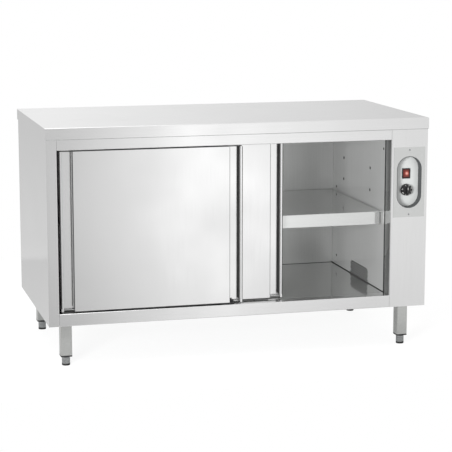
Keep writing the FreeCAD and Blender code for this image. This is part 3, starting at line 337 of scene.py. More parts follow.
# %% Fan motor
coil_height, sheet_step, wire_step = 0.0135, 0.001, 0.0008
motor_finish, tree, place = new_finish("motor_iron_and_wire")
axes = add(tree, "ShaderNodeSeparateXYZ", {"Vector": place})
coil_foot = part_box("blower_motor")[1].z - coil_height
coil_share = add(tree, "ShaderNodeMath", {0: axes.outputs["Z"], 1: coil_foot},
                 operation="GREATER_THAN")
tones = []
for axis, step, dark, pale in (("Y", sheet_step, "4A4B4D", "76787A"),
                               ("X", wire_step, "6B2F16", "B5622F")):
    turned = add(tree, "ShaderNodeMath", {0: axes.outputs[axis], 1: 2 * math.pi / step},
                 operation="MULTIPLY")
    wave = add(tree, "ShaderNodeMath", {0: turned}, operation="SINE")
    tones.append(add(tree, "ShaderNodeValToRGB", {"Fac": wave},
                     [(0.0, linear(dark)), (1.0, linear(pale))]))
both = add(tree, "ShaderNodeMixRGB", {"Fac": coil_share, "Color1": tones[0],
                                      "Color2": tones[1]})
shader = add(tree, "ShaderNodeBsdfPrincipled", {"Base Color": both, "Metallic": 0.8,
                                                "Roughness": 0.45})
add(tree, "ShaderNodeOutputMaterial", {"Surface": shader})
print(motor_finish.name)

# %% [markdown]
# ## Mineral wool and chipboard
# The walls are filled with mineral wool, matted fibres a few hundredths of a millimetre
# thick, pressed into boards. The wool is given a near-black tone, which is painted shade:
# it shows through the bracket holes as their dark inside. The worktop lies on chipboard.
# Both hide inside, so a fibre noise and a chip pattern with real sizes, 2 mm tufts and
# 4 mm chips, are enough.

# %% Wool and board
wool, tree, place = new_finish("mineral_wool")
tufts = add(tree, "ShaderNodeTexNoise", {"Vector": place, "Scale": 500.0, "Detail": 5.0,
                                         "Distortion": 1.5})
# Near-black tone: painted shade, the dark inside of the bracket holes.
tone = add(tree, "ShaderNodeValToRGB", {"Fac": tufts},
           [(0.0, linear("191817")), (1.0, linear("2E2C29"))])
relief = add(tree, "ShaderNodeBump", {"Height": tufts, "Strength": 0.8, "Distance": 0.001})
shader = add(tree, "ShaderNodeBsdfPrincipled", {"Base Color": tone, "Roughness": 0.95,
                                                "Normal": relief})
add(tree, "ShaderNodeOutputMaterial", {"Surface": shader})

board, tree, place = new_finish("chipboard")
chips = add(tree, "ShaderNodeTexVoronoi", {"Vector": place, "Scale": 250.0,
                                           "Randomness": 1.0})
chip_value = add(tree, "ShaderNodeSeparateColor", {"Color": chips.outputs["Color"]})
tone = add(tree, "ShaderNodeValToRGB", {"Fac": chip_value},
           [(0.0, linear("9A7B52")), (1.0, linear("CBB083"))])
relief = add(tree, "ShaderNodeBump", {"Height": chips.outputs["Distance"], "Strength": 0.3,
                                      "Distance": 0.0005})
shader = add(tree, "ShaderNodeBsdfPrincipled", {"Base Color": tone, "Roughness": 0.8,
                                                "Normal": relief})
add(tree, "ShaderNodeOutputMaterial", {"Surface": shader})
print(wool.name, board.name)

# %% [markdown]
# ## Printed ink
# The dial's numerals and its pointer are pad printed in white ink, which wear has greyed.
# Ink lies a few hundredths of a millimetre thick and is slightly uneven, so a little noise
# breaks it.

# %% Printed ink
white_ink, tree, place = new_finish("white_pad_print")
ink_noise = add(tree, "ShaderNodeTexNoise", {"Vector": place, "Scale": 2500.0,
                                             "Detail": 2.0})
tone = add(tree, "ShaderNodeValToRGB", {"Fac": ink_noise},
           [(0.0, linear("AAAAA7")), (1.0, linear("C2C2BF"))])
shader = add(tree, "ShaderNodeBsdfPrincipled", {"Base Color": tone, "Roughness": 0.5,
                                                "IOR": 1.5})
add(tree, "ShaderNodeOutputMaterial", {"Surface": shader})
print(white_ink.name)

# %% [markdown]
# ## A finish for every node
# The record names a material slot for each node. The slots say what a node is made of,
# and the lists below add which way the sheet was ground: long parts along their length,
# and upright parts from top to bottom.

# %% Assign finishes
finish_of_slot = {
    "brushed_stainless": steel_upright, "lining_stainless": lining_steel,
    "galvanised_sheet": zinc_sheet, "leg_tube": tube_steel, "foot_metal": foot_zinc,
    "insulation": wool, "nylon": white_nylon, "board": board, "rubber_stop": black_rubber_and_shade,
    "black_plastic": black_nylon_and_shade, "fascia_steel": plate_steel, "screw_steel": screw_zinc,
    "switch_red": rocker_red, "control_housing": housing_plastic, "knob_black": black_knob,
    "copper_tube": capillary_copper, "impeller_alloy": drum_alloy,
    "motor_iron": motor_finish, "heater_sheath": sheath_alloy, "gland_plastic": gland_nylon,
}
finish_of_node = {
    "worktop": steel_long, "top_rail": steel_long, "bottom_rail": steel_long,
    "back_panel": steel_back, "shelf": shelf_steel, "inner_floor": shelf_steel,
    "inner_left_wall": satin_steel, "inner_right_wall": satin_steel,
    "inner_back_wall": back_lining, "control_pocket": pocket_steel,
}
for row in frame["record"]["subparts"]:
    chosen = finish_of_node.get(row["node"], finish_of_slot[row["material_slot"]])
    materials = nodes[row["node"]].data.materials
    materials.clear()
    materials.append(chosen)
print("nodes with a finish:", len(nodes))

# %% [markdown]
# ## Helpers for modelling
# Each operator works on what is selected, so a piece starts with an empty selection. A
# finished piece has its place in its mesh, and its object at the origin, which is how
# the frame's own nodes are. What repeats on the cabinet is modelled once and copied.

# %% Modelling helpers
smooth_angle = math.radians(35.0)


def only(thing):
    """Makes one object the only selected and active one."""
    bpy.ops.object.select_all(action="DESELECT")
    thing.select_set(True)
    bpy.context.view_layer.objects.active = thing


def settle(thing, name, finish, body):
    """Puts a piece's place into its mesh, names it and hangs it on its body."""
    only(thing)
    bpy.ops.object.transform_apply(location=True, rotation=True, scale=True)
    thing.name = name
    thing.data.name = name
    if finish is not None:
        thing.data.materials.clear()
        thing.data.materials.append(finish)
    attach(thing, body)
    return thing


def copy_of(mesh, name):
    """New object with its own copy of a mesh."""
    copy = bpy.data.objects.new(name, mesh.copy())
    bpy.context.scene.collection.objects.link(copy)
    return copy


# %% [markdown]
# ## Drawing out a disc
# Feet, screws and plugs are turned or struck, so they are round. Each starts as a disc,
# and its rim is drawn out step by step, as a potter pulls up clay. A profile spun about
# an axis would give the same shapes, but a list of steps is easier to read and to change.


# %% Drawing out
def disc(points, radius, centre, rotation=(0, 0, 0)):
    """A flat disc with its place in its mesh, all selected in edit mode."""
    bpy.ops.object.select_all(action="DESELECT")
    bpy.ops.mesh.primitive_circle_add(vertices=points, radius=radius, fill_type="NGON",
                                      location=centre, rotation=rotation)
    bpy.ops.object.transform_apply(location=True, rotation=True, scale=True)
    bpy.ops.object.mode_set(mode="EDIT")
    bpy.ops.mesh.select_all(action="SELECT")
    return bpy.context.object


def draw_out(steps, axis, centre):
    """Extrudes what is selected. Each step is a way along the axis and a share of width.
    All faces are turned outwards at the end, and edit mode is left."""
    along = "xyz".index(axis)
    for way, share in steps:
        move, size = [0, 0, 0], [share] * 3
        move[along], size[along] = way, 1
        bpy.ops.mesh.extrude_region_move(TRANSFORM_OT_translate={"value": move})
        bpy.ops.transform.resize(value=size, center_override=centre)
    face_outwards()


def face_outwards():
    """Turns the edited mesh's faces outwards and leaves edit mode."""
    bpy.ops.mesh.select_all(action="SELECT")
    bpy.ops.mesh.normals_make_consistent(inside=False)
    bpy.ops.object.mode_set(mode="OBJECT")


print("feet to draw out:", len([name for name in nodes if name.startswith("foot_")]))

# %% [markdown]
# ## Levelling feet
# A foot is turned steel on a black pad, and its threaded stud screws into the tube's end.
# It is round all over, so a disc is drawn up in rings, each with its height and radius.
# The thread is M10, with 1.5 mm between ridges. It is drawn as rings instead of a helix,
# which looks the same from outside.

# %% Feet
foot_low, foot_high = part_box("foot_front_left")
foot_middle = (foot_low + foot_high) / 2
sole_radius, pad_top = 0.0138, 0.0072
foot_rings = [(0.001, 0.0145), (0.0065, 0.0145), (0.0068, 0.0137), (0.0078, 0.0137),
              (0.0082, 0.0145), (0.0300, 0.0145), (0.0309, 0.0136), (0.0310, 0.0050)]
thread_pitch, root_radius, ridge_radius = 0.0015, 0.0043, 0.0050
thread_start, thread_end = 0.0320, foot_high.z - 0.0010
for turn in range(int((thread_end - thread_start) / thread_pitch)):
    foot_rings.append((thread_start + turn * thread_pitch, root_radius))
    foot_rings.append((thread_start + (turn + 0.5) * thread_pitch, ridge_radius))
foot_rings.append((foot_high.z, 0.0040))

rings_below = [(0.0, sole_radius)] + foot_rings
foot = disc(40, sole_radius, (foot_middle.x, foot_middle.y, foot_low.z))
draw_out([(height - height_below, radius / radius_below) for (height_below, radius_below),
          (height, radius) in zip(rings_below, foot_rings)], "z", foot_middle)
bpy.ops.object.shade_smooth_by_angle(angle=smooth_angle)
foot.data.materials.append(foot_zinc)
foot.data.materials.append(pad_rubber)
for face in foot.data.polygons:
    face.material_index = 1 if face.center.z < pad_top else 0
settle(foot, "turned_foot_front_left", None, "foot_front_left")
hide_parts("foot_front_left")
for body in ("foot_front_right", "foot_rear_left", "foot_rear_right"):
    low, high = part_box(body)
    twin = copy_of(foot.data, "turned_" + body)
    twin.location = (low + high) / 2 - foot_middle
    settle(twin, "turned_" + body, None, body)
    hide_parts(body)
print("foot rings:", len(foot_rings), "faces:", len(foot.data.polygons))

# %% [markdown]
# ## Countersunk screws
# Two M4 countersunk screws with a cross recess hold the control plate. A disc is drawn
# out into the cone and shank, then two crossed bars are cut from the face by a boolean,
# which is how the recess is struck: a cross-shaped punch pressed into the head.

# %% Plate screws
screw_low, screw_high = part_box("plate_screws")
head_radius, shank_radius, cone_depth, tip_depth = 0.0036, 0.0019, 0.0012, 0.0008
punch_size = (0.0042, 0.0016, 0.0009)
screw_x = (screw_low.x + screw_high.x) / 2
screw_heights = (screw_low.z + head_radius, screw_high.z - head_radius)
shank_length = screw_high.y - screw_low.y - cone_depth - tip_depth
for label, screw_z in zip(("lower", "upper"), screw_heights):
    face_middle = (screw_x, screw_low.y, screw_z)
    screw = disc(32, head_radius, face_middle, (math.pi / 2, 0, 0))
    draw_out([(cone_depth, shank_radius / head_radius), (shank_length, 1.0),
              (tip_depth, 0.6)], "y", face_middle)
    for turn in (0.0, math.pi / 2):
        bpy.ops.mesh.primitive_cube_add(size=1.0, location=face_middle, scale=punch_size,
                                        rotation=(0, turn, 0))
        punch = bpy.context.object
        only(screw)
        cut = screw.modifiers.new("recess", "BOOLEAN")
        cut.operation = "DIFFERENCE"
        cut.object = punch
        bpy.ops.object.modifier_apply(modifier=cut.name)
        bpy.data.objects.remove(punch)
    settle(screw, "plate_screw_" + label, screw_zinc, "cabinet")
    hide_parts("plate_screws")
print("screws at heights", [round(z, 4) for z in screw_heights])

# %% [markdown]
# ## Rocker and its bezel
# The rocker's hollowed cap is in the frame. A copy of it is merged and its sharp edges are
# rounded, as every moulded edge is, because a rounded edge catches the light. The bezel
# around it is treated the same way.


# %% Rocker
def rounded(thing, width, segments=2):
    """Rounds sharp edges with an applied bevel, and shades the curved faces smooth."""
    only(thing)
    bevel = thing.modifiers.new("edge", "BEVEL")
    bevel.width = width
    bevel.segments = segments
    bevel.limit_method = "ANGLE"
    bevel.angle_limit = math.radians(30.0)
    bpy.ops.object.modifier_apply(modifier=bevel.name)
    bpy.ops.object.shade_smooth_by_angle(angle=smooth_angle)
    return thing


def softened(node, name, width, finish, body):
    """Copy of a node with its loose triangles merged and its edges rounded, in its place."""
    copy = copy_of(nodes[node].data, name)
    only(copy)
    bpy.ops.object.mode_set(mode="EDIT")
    bpy.ops.mesh.select_all(action="SELECT")
    bpy.ops.mesh.remove_doubles(threshold=0.00001)
    bpy.ops.object.mode_set(mode="OBJECT")
    settle(rounded(copy, width), name, finish, body)
    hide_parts(node)
    return copy


rocker = softened("switch_rocker", "rocker_cap", 0.0005, rocker_red, "switch_rocker")
bezel = softened("switch_body", "switch_bezel", 0.0004, black_nylon_and_shade, "cabinet")
print("rocker faces:", len(rocker.data.polygons), "bezel faces:", len(bezel.data.polygons))

# %% [markdown]
# ## The dial
# The thermostat's knob has a wide skirt for the numerals and a raised bar for the fingers.
# It is moulded in one piece, so the knob from the frame gets its rounded edges as the
# rocker did. Its middle and its skirt are measured for what is printed on them.

# %% Dial knob
knob = softened("thermostat_knob", "dial_knob", 0.0004, black_knob, "thermostat_knob")
knob_low, knob_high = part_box("thermostat_knob")
dial_middle = Vector(((knob_low.x + knob_high.x) / 2, 0, (knob_low.z + knob_high.z) / 2))
skirt_reach = 0.0120
skirt_front = knob_high.y - skirt_reach
print("knob faces:", len(knob.data.polygons), "skirt's front at y", round(skirt_front, 4))

# %% [markdown]
# ## The numerals
# The skirt shows 0 for off and the temperatures from 30 to 90 in steps of ten. Each numeral
# stands radially, so that the one at the top reads upright. A numeral starts as text, which
# is made a mesh before it is turned to face the room. An image could carry them too, but a
# thin mesh stays sharp at any distance.

# %% Numerals
labels = ("0", "30", "40", "50", "60", "70", "80", "90")
first_turn, turn_step = -20.0, 43.0
numeral_radius, numeral_size, ink_thick, ink_lift = 0.0179, 0.0052, 0.00003, 0.00005


def printed_text(text, size, place, turn):
    """Flat text as a mesh that faces the doors' side, centred on a place."""
    bpy.ops.object.select_all(action="DESELECT")
    bpy.ops.object.text_add(location=(0, 0, 0))
    words = bpy.context.object
    words.data.body = text
    words.data.size = size
    words.data.align_x = "CENTER"
    words.data.align_y = "CENTER"
    words.data.extrude = ink_thick
    bpy.ops.object.convert(target="MESH")
    words = bpy.context.object
    words.rotation_mode = "XYZ"
    words.rotation_euler = (math.pi / 2, turn, 0)
    words.location = place
    bpy.ops.object.transform_apply(location=True, rotation=True, scale=True)
    return words


def joined(pieces):
    """Joins pieces into the first of them."""
    only(pieces[0])
    for piece in pieces:
        piece.select_set(True)
    bpy.ops.object.join()
    return bpy.context.object


marks = []
for index, label in enumerate(labels):
    angle = math.radians(first_turn + index * turn_step)
    spot = dial_middle + Vector((math.sin(angle) * numeral_radius, skirt_front - ink_lift,
                                 math.cos(angle) * numeral_radius))
    marks.append(printed_text(label, numeral_size, spot, angle))
numerals = joined(marks)
settle(numerals, "dial_numerals", white_ink, "thermostat_knob")
print("numerals:", labels, "faces:", len(numerals.data.polygons))

# %% [markdown]
# ## The pointer
# The pointer is a white line let into the finger bar, along its upper half. It starts as a
# block, and its front edges are bevelled so that it ends in a soft ridge.


# %% Pointer
def strip(low, high):
    """A block between two corners, with its place and size in the mesh."""
    bpy.ops.object.select_all(action="DESELECT")
    bpy.ops.mesh.primitive_cube_add(size=1.0, location=(low + high) / 2, scale=high - low)
    bpy.ops.object.transform_apply(location=True, rotation=True, scale=True)
    return bpy.context.object


pointer_sunk, pointer_rise, pointer_size = 0.0001, 0.0062, Vector((0.0014, 0.0005, 0.0092))
pointer_middle = Vector((dial_middle.x, knob_low.y + pointer_sunk,
                         dial_middle.z + pointer_rise))
half_pointer = pointer_size / 2
pointer = strip(pointer_middle - half_pointer, pointer_middle + half_pointer)
settle(rounded(pointer, 0.00015), "dial_pointer", white_ink, "thermostat_knob")
print("pointer faces:", len(pointer.data.polygons))

# %% [markdown]
# ## Ribs of the finger grip
# The ribs keep the fingers from slipping. They stand on the black grip strip, whose black is
# painted shade. Here they are raised out of a block: it is cut into bands 2 mm wide, and every
# second band is pulled out by half a millimetre. The faces for this are picked by a test of
# where they lie and which way they look, which still holds when a length is changed.

# %% Ribs
rib_step, rib_high = 0.0020, 0.0005


def pick_faces(thing, chosen):
    """Selects the faces that pass the test, in edit mode, and nothing else."""
    bpy.ops.object.mode_set(mode="EDIT")
    bpy.ops.mesh.select_mode(type="FACE")
    bpy.ops.mesh.select_all(action="DESELECT")
    bpy.ops.object.mode_set(mode="OBJECT")
    for face in thing.data.polygons:
        face.select = chosen(face)
    bpy.ops.object.mode_set(mode="EDIT")


def raise_ribs(grip, front, depth):
    """Cuts a grip into bands from front to back, and raises every second one."""
    bpy.ops.object.mode_set(mode="EDIT")
    for cut in range(1, round(depth / rib_step)):
        bpy.ops.mesh.select_all(action="SELECT")
        bpy.ops.mesh.bisect(plane_co=(0, front + cut * rib_step, 0), plane_no=(0, 1, 0))
    bpy.ops.object.mode_set(mode="OBJECT")
    pick_faces(grip, lambda face: face.normal.x < -0.9
               and round((face.center.y - front) / rib_step - 0.5) % 2 == 0)
    bpy.ops.mesh.extrude_region_move(TRANSFORM_OT_translate={"value": (-rib_high, 0, 0)})
    bpy.ops.object.mode_set(mode="OBJECT")


print("ribs every", rib_step * 2, "m, high", rib_high)

# %% [markdown]
# ## Black strips in the finger channels, as painted shade
# Each end of a door has a full-height finger channel. Black strips line it where it lies in
# deep shade, and their black is painted shade: a ribbed grip on the wall behind the lip, a thin
# trim on the wall beside the panel, and a bead over the door's outer edge for the dark line
# there. The sections are simple, so each is a long block that is rounded, and the grip's block
# is first cut and extruded for its ribs. One of each is made, for the right end of the front
# door, and its copies go to the other channels, half turned at a left end.

# %% Door channel strips, painted shade
pull_lip, sheet, channel_floor = 0.0090, 0.0012, 0.0276
shade_strip_low, shade_strip_high = 0.2156, 0.7660
middle_height, shade_strip_long = (shade_strip_low + shade_strip_high) / 2, shade_strip_high - shade_strip_low
sizes = {"grip": Vector((0.0008, 0.0160, shade_strip_long)),
         "trim": Vector((0.0012, 0.0120, shade_strip_long)),
         "bead": Vector((0.0026, 0.0034, shade_strip_long))}
edge_widths = {"grip": 0.0002, "trim": 0.0005, "bead": 0.0005}
trim_proud, bead_back = 0.0003, 0.0012
trim_lift = 1 / 6  # of the trim's thickness, so a third of it lies in the sheet

patterns = {}
for door in ("front_door", "rear_door"):
    for side in ("right", "left"):
        low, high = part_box(door + "_" + side + "_pull")
        way = 1 if side == "right" else -1
        outer, inner = (high.x, low.x) if side == "right" else (low.x, high.x)
        for kind, size in sizes.items():
            place = Vector({
                "grip": (outer - way * (pull_lip + size.x / 2),
                         low.y + channel_floor - size.y / 2, middle_height),
                "trim": (inner + way * (sheet + size.x * trim_lift),
                         low.y - trim_proud + size.y / 2, middle_height),
                "bead": (outer - way * size.x / 2, low.y + bead_back, middle_height),
            }[kind])
            name = "_".join((door, side, kind))
            if kind not in patterns:
                piece = strip(place - size / 2, place + size / 2)
                if kind == "grip":
                    raise_ribs(piece, place.y - size.y / 2, size.y)
                rounded(piece, edge_widths[kind])
                patterns[kind] = (piece, place)
            else:
                source, turned = patterns[kind]
                piece = copy_of(source.data, name)
                if side == "left":
                    piece.rotation_euler.z = math.pi
                    turned = Vector((-turned.x, -turned.y, turned.z))
                piece.location = place - turned
            # Painted shade: the black strips stand for the deep shade in the finger channels.
            settle(piece, name, black_rubber_and_shade, door)
print("rubbers on each pull:", {kind: len(piece.data.polygons)
                                for kind, (piece, place) in patterns.items()})

# %% [markdown]
# ## Seals and shade lines of the body
# A black bulb fills the joint between the column's jamb and the inner wall; its black is
# painted shadow, the shadow of the gap there. The jamb has a liner of bright mill-finish
# sheet, which mirrors the dark inside of the cabinet. A thin grey line under the worktop's
# front is painted shadow too, the shadow under the apron's edge. They are extrusions, so they
# are blocks with rounded edges, and the bulb gets a wide bevel of many steps. Each is measured
# from the face it lies on: how far it stands in and out, and how far it reaches to the front
# and the rear.

# %% Body seals and shade lines
jamb_low, jamb_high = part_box("column_front")
wall_low, wall_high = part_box("inner_right_wall")
back_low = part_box("inner_back_wall")[0]
top_low, top_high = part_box("worktop")
end_gap = 0.0006
bulb_in, bulb_out, bulb_front, bulb_rear = 0.0012, 0.0040, 0.0022, 0.0020
liner_in, liner_out, liner_front, liner_rear = 0.0010, 0.0001, 0.0024, 0.0026
line_inset, line_front, line_rear, line_top, line_foot = 0.0020, 0.0004, 0.0020, 0.0001, 0.0013


def rounded_strip(name, low, high, edge, segments=3, finish=black_rubber_and_shade, body="cabinet"):
    """A rounded strip between two corners, settled on its body."""
    piece = rounded(strip(Vector(low), Vector(high)), edge, segments)
    return settle(piece, name, finish, body)


# Painted shadow: the black bulb stands for the shadow in the gap between jamb and wall.
shadow_bulb = rounded_strip("jamb_shadow_bulb",
            (wall_low.x - bulb_in, jamb_high.y - bulb_front, wall_low.z + end_gap),
            (wall_low.x + bulb_out, wall_low.y + bulb_rear, wall_high.z - end_gap), 0.0008, 5)
rounded_strip("jamb_liner",
     (wall_low.x - liner_in, jamb_low.y + liner_front, wall_low.z + end_gap),
     (wall_low.x + liner_out, jamb_high.y - liner_rear, wall_high.z - end_gap), 0.0004,
     finish=lining_steel)
# Painted shadow: a grey strip for the shadow under the apron's edge.
apron_shadow_line = rounded_strip("worktop_apron_shadow_line",
               (top_low.x + line_inset, top_low.y + line_front, top_low.z - line_foot),
               (top_high.x - line_inset, top_low.y + line_rear, top_low.z - line_top), 0.0004,
               finish=apron_shadow_grey)
print("seals made: bulb", len(shadow_bulb.data.polygons), "apron_shadow_line", len(apron_shadow_line.data.polygons))

# %% [markdown]
# ## Dark bead round the lining's floor
# A black bead runs along the foot of the left, right and rear walls. It is painted shade, the
# dark line where each wall meets the floor sheet. It is one bead, so three rounded strips are
# joined to one piece. The rear bead is thinner and lower, because the camera sees it only as
# a fine line.

# %% Floor shade bead
bead_wide, bead_tall, bead_sunk, rear_bead_wide = 0.0026, 0.0024, 0.0003, 0.0012
bead_bite = 0.0002
bead_foot, bead_top = wall_low.z - bead_bite, wall_low.z + bead_tall
bead_start, bead_end = wall_low.y + end_gap, back_low.y + bead_sunk
left_edge, right_edge = back_low.x + bead_wide, wall_low.x - bead_wide
beads = [strip(Vector(low), Vector(high)) for low, high in (
    ((right_edge, bead_start, bead_foot), (wall_low.x + bead_sunk, bead_end, bead_top)),
    ((back_low.x - bead_sunk, bead_start, bead_foot), (left_edge, bead_end, bead_top)),
    ((left_edge, back_low.y - rear_bead_wide, bead_foot),
     (right_edge, bead_end, wall_low.z + bead_tall / 2)))]
for bead in beads:
    rounded(bead, 0.0008, 3)
# Painted shade: the dark line where the walls meet the floor.
floor_shadow_bead = joined(beads)
settle(floor_shadow_bead, "floor_shadow_bead", black_rubber_and_shade, "cabinet")
print("floor sealant faces:", len(floor_shadow_bead.data.polygons))

# %% [markdown]
# ## Strips of the doors
# Along the top and the foot of each door lies a low black strip. Both are painted shadow: the
# dark line under the top rail and the dark gap under the door. Both run from one channel to
# the other and stop short of the door's ends, so that the doors still pass the frame.

# %% Door strips
strip_front, strip_back, strip_end = 0.0006, 0.0036, 0.0025
strip_high, strip_hang, overlap = 0.0026, 0.0030, 0.0002
for door in ("front_door", "rear_door"):
    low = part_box(door + "_left_pull")[0]
    high = Vector((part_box(door + "_right_pull")[1].x, low.y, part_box(door + "_left_pull")[1].z))
    # Painted shadow: black strips for the dark lines at the door's top and foot.
    for kind, foot_z, top_z in (("top_shadow_strip", high.z - overlap, high.z + strip_high),
                                ("foot_shadow_strip", low.z - strip_hang, low.z + overlap)):
        edge = rounded_strip(door + "_" + kind, (low.x + strip_end, low.y + strip_front, foot_z),
                    (high.x - strip_end, low.y + strip_back, top_z), 0.0006, body=door)
print("faces of a door strip:", len(edge.data.polygons))

# %% [markdown]
# ## Dark buttons in the spare holes
# The side walls have holes for more shelf brackets. The spare ones get black domed buttons,
# which look like dark dots: painted shade of the dark inside of the holes. One is drawn up
# from a disc in three steps, and its copies go to the holes, by their depths and heights in
# the wall. The three rivet heads get the same button, a little smaller, as painted shade too.

# %% Shade buttons in the holes
right_wall, left_wall = wall_low.x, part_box("inner_left_wall")[1].x
plug_radius, rivet_share, dome_angle = 0.0056, 0.85, math.radians(50.0)
dome_steps = [(-0.0006, 1.0), (-0.0005, 0.78), (-0.0002, 0.5)]
spare_holes = [(column, row, 1.0) for column in (0.1764, -0.1254) for row in (0.558, 0.641)]
rivet_holes = [(0.2545, 0.238, rivet_share), (0.2635, 0.5153, rivet_share),
               (-0.2674, 0.7307, rivet_share)]
shade_plug = disc(20, plug_radius, (0, 0, 0), (0, -math.pi / 2, 0))
draw_out(dome_steps, "x", (0, 0, 0))
bpy.ops.object.shade_smooth_by_angle(angle=dome_angle)
for wall_name, wall_x, holes in (("right", right_wall, spare_holes + rivet_holes),
                                 ("left", left_wall, spare_holes)):
    for number, (hole_y, hole_z, share) in enumerate(holes, 1):
        name = "hole_shade_plug_" + wall_name + "_" + str(number)
        copy = copy_of(shade_plug.data, name)
        copy.rotation_euler = (0, 0, math.pi if wall_name == "left" else 0.0)
        copy.scale = (1, share, share)
        copy.location = (wall_x, hole_y, hole_z)
        # Painted shade: each black button stands for the dark inside of a hole.
        settle(copy, name, black_nylon_and_shade, "cabinet")
bpy.data.objects.remove(shade_plug)
print("plugs:", len(spare_holes) * 2 + len(rivet_holes))

# %% [markdown]
# ## Dark rims and backing of the hot-air slots
# A thin black sheet lies right behind the hot-air slots, so the slots look black, and each
# slot is lined by a thin black bush over its cut edges. Both are painted shade, the dark
# inside of the slots. A bush starts as a plane. It is inset twice, its middle is taken out,
# the ring is extruded for the flange, and the inner ring again for the sleeve. Its copies
# follow the staggered rows.

# %% Slot rims and shade sheet
slot_long, slot_tall, rim_wide, rim_inset = 0.0155, 0.0040, 0.0011, 0.0001
flange_thick, sleeve_deep, sleeve_thick = 0.0004, 0.0010, 0.0003
rows, slots_in_row, row_step, slot_step = 6, 9, 0.0085, 0.0226
grille_middle_y, first_row_z, wall_clear = -0.01736, 0.2065, 0.00005
shade_sheet_gap, shade_sheet_thick = 0.00105, 0.0002
shade_sheet_front, shade_sheet_back, shade_sheet_foot, shade_sheet_top = -0.1200, 0.0860, 0.2040, 0.2640
places = [Vector((right_wall - wall_clear,
                  grille_middle_y + (slot - (slots_in_row - 1 - row % 2) / 2) * slot_step,
                  first_row_z + row * row_step))
          for row in range(rows) for slot in range(slots_in_row - row % 2)]
bpy.ops.object.select_all(action="DESELECT")
bpy.ops.mesh.primitive_plane_add(size=1.0, location=places[0], rotation=(0, -math.pi / 2, 0))
shade_rim = bpy.context.object
shade_rim.scale = (slot_tall + 2 * rim_wide, slot_long + 2 * rim_wide, 1)
bpy.ops.object.transform_apply(location=True, rotation=True, scale=True)
bpy.ops.object.mode_set(mode="EDIT")
bpy.ops.mesh.select_all(action="SELECT")
bpy.ops.mesh.inset(thickness=rim_wide + rim_inset)
bpy.ops.mesh.inset(thickness=sleeve_thick)
bpy.ops.mesh.delete(type="FACE")
bpy.ops.mesh.select_all(action="SELECT")
bpy.ops.mesh.extrude_region_move(TRANSFORM_OT_translate={"value": (-flange_thick, 0, 0)})
bpy.ops.object.mode_set(mode="OBJECT")
pick_faces(shade_rim, lambda face: face.normal.x > 0.9
           and abs(face.center.y - places[0].y) < slot_long / 2
           and abs(face.center.z - places[0].z) < slot_tall / 2)
bpy.ops.mesh.extrude_region_move(TRANSFORM_OT_translate={"value": (sleeve_deep, 0, 0)})
face_outwards()
shade_rims = [shade_rim]
for place in places[1:]:
    shade_rims.append(copy_of(shade_rim.data, "shade_rim"))
    shade_rims[-1].location = place - places[0]
# Painted shade: black rims round the slots.
settle(joined(shade_rims), "hot_air_slot_shade_rims", black_nylon_and_shade, "cabinet")
# Painted shade: a black sheet behind the slots, for their dark inside.
rounded_strip("hot_air_slot_shade_sheet", (right_wall + shade_sheet_gap, shade_sheet_front, shade_sheet_foot),
     (right_wall + shade_sheet_gap + shade_sheet_thick, shade_sheet_back, shade_sheet_top), 0.00005, 2)
print("bushes:", len(places))

# %% [markdown]
# ## The gasket of the control recess
# A dark grey gasket lines the wall of the recess, 2 mm thick and 30 mm deep, with round
# ends. Its thin rim at the mouth is a real dark edge, and its dark grey down the wall is
# painted shade, the shade on the recess's wall. It starts as a circle whose upper and lower
# halves are pulled apart, which gives the outline. The outline is extruded into the recess,
# and Solidify gives the thickness.

# %% Recess gasket
pocket_low, pocket_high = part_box("control_pocket")
gasket_proud = 0.0002
mouth = Vector(((pocket_low.x + pocket_high.x) / 2,
                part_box("control_plate")[0].y - gasket_proud,
                (pocket_low.z + pocket_high.z) / 2))
mouth_radius, mouth_reach, gasket_thick, gasket_deep = 0.0475, 0.0475, 0.0020, 0.0300
gasket_points, gasket_gap = 72, 0.0001
bpy.ops.object.select_all(action="DESELECT")
bpy.ops.mesh.primitive_circle_add(vertices=gasket_points, location=mouth,
                                  radius=mouth_radius - gasket_thick / 2 - gasket_gap)
gasket_and_shade = bpy.context.object
gasket_and_shade.rotation_euler = (math.pi / 2, math.pi / gasket_points, 0)
bpy.ops.object.transform_apply(location=True, rotation=True, scale=True)
for side in (1, -1):
    bpy.ops.object.mode_set(mode="EDIT")
    bpy.ops.mesh.select_mode(type="VERT")
    bpy.ops.mesh.select_all(action="DESELECT")
    bpy.ops.object.mode_set(mode="OBJECT")
    for point in gasket_and_shade.data.vertices:
        point.select = (point.co.z - mouth.z) * side > 0
    bpy.ops.object.mode_set(mode="EDIT")
    bpy.ops.transform.translate(value=(0, 0, side * mouth_reach))
    bpy.ops.object.mode_set(mode="OBJECT")
bpy.ops.object.mode_set(mode="EDIT")
bpy.ops.mesh.select_all(action="SELECT")
bpy.ops.mesh.extrude_region_move(TRANSFORM_OT_translate={"value": (0, gasket_deep, 0)})
face_outwards()
wall = gasket_and_shade.modifiers.new("wall", "SOLIDIFY")
wall.thickness = gasket_thick
wall.offset = 0.0
bpy.ops.object.modifier_apply(modifier=wall.name)
# Partly painted shade: dark grey down the recess wall, with a real dark rim at the mouth.
settle(rounded(gasket_and_shade, 0.0004, 3), "recess_gasket_and_shade", gasket_and_shade_grey, "cabinet")
print("gasket faces:", len(gasket_and_shade.data.polygons))

# %% [markdown]
# ## The stage
# The photograph stands on white. The floor is a plane half a millimetre below the feet. It
# reaches well past the cabinet's shadow, and further to the right and back, where the
# shadow falls. The room's white takes over behind it.

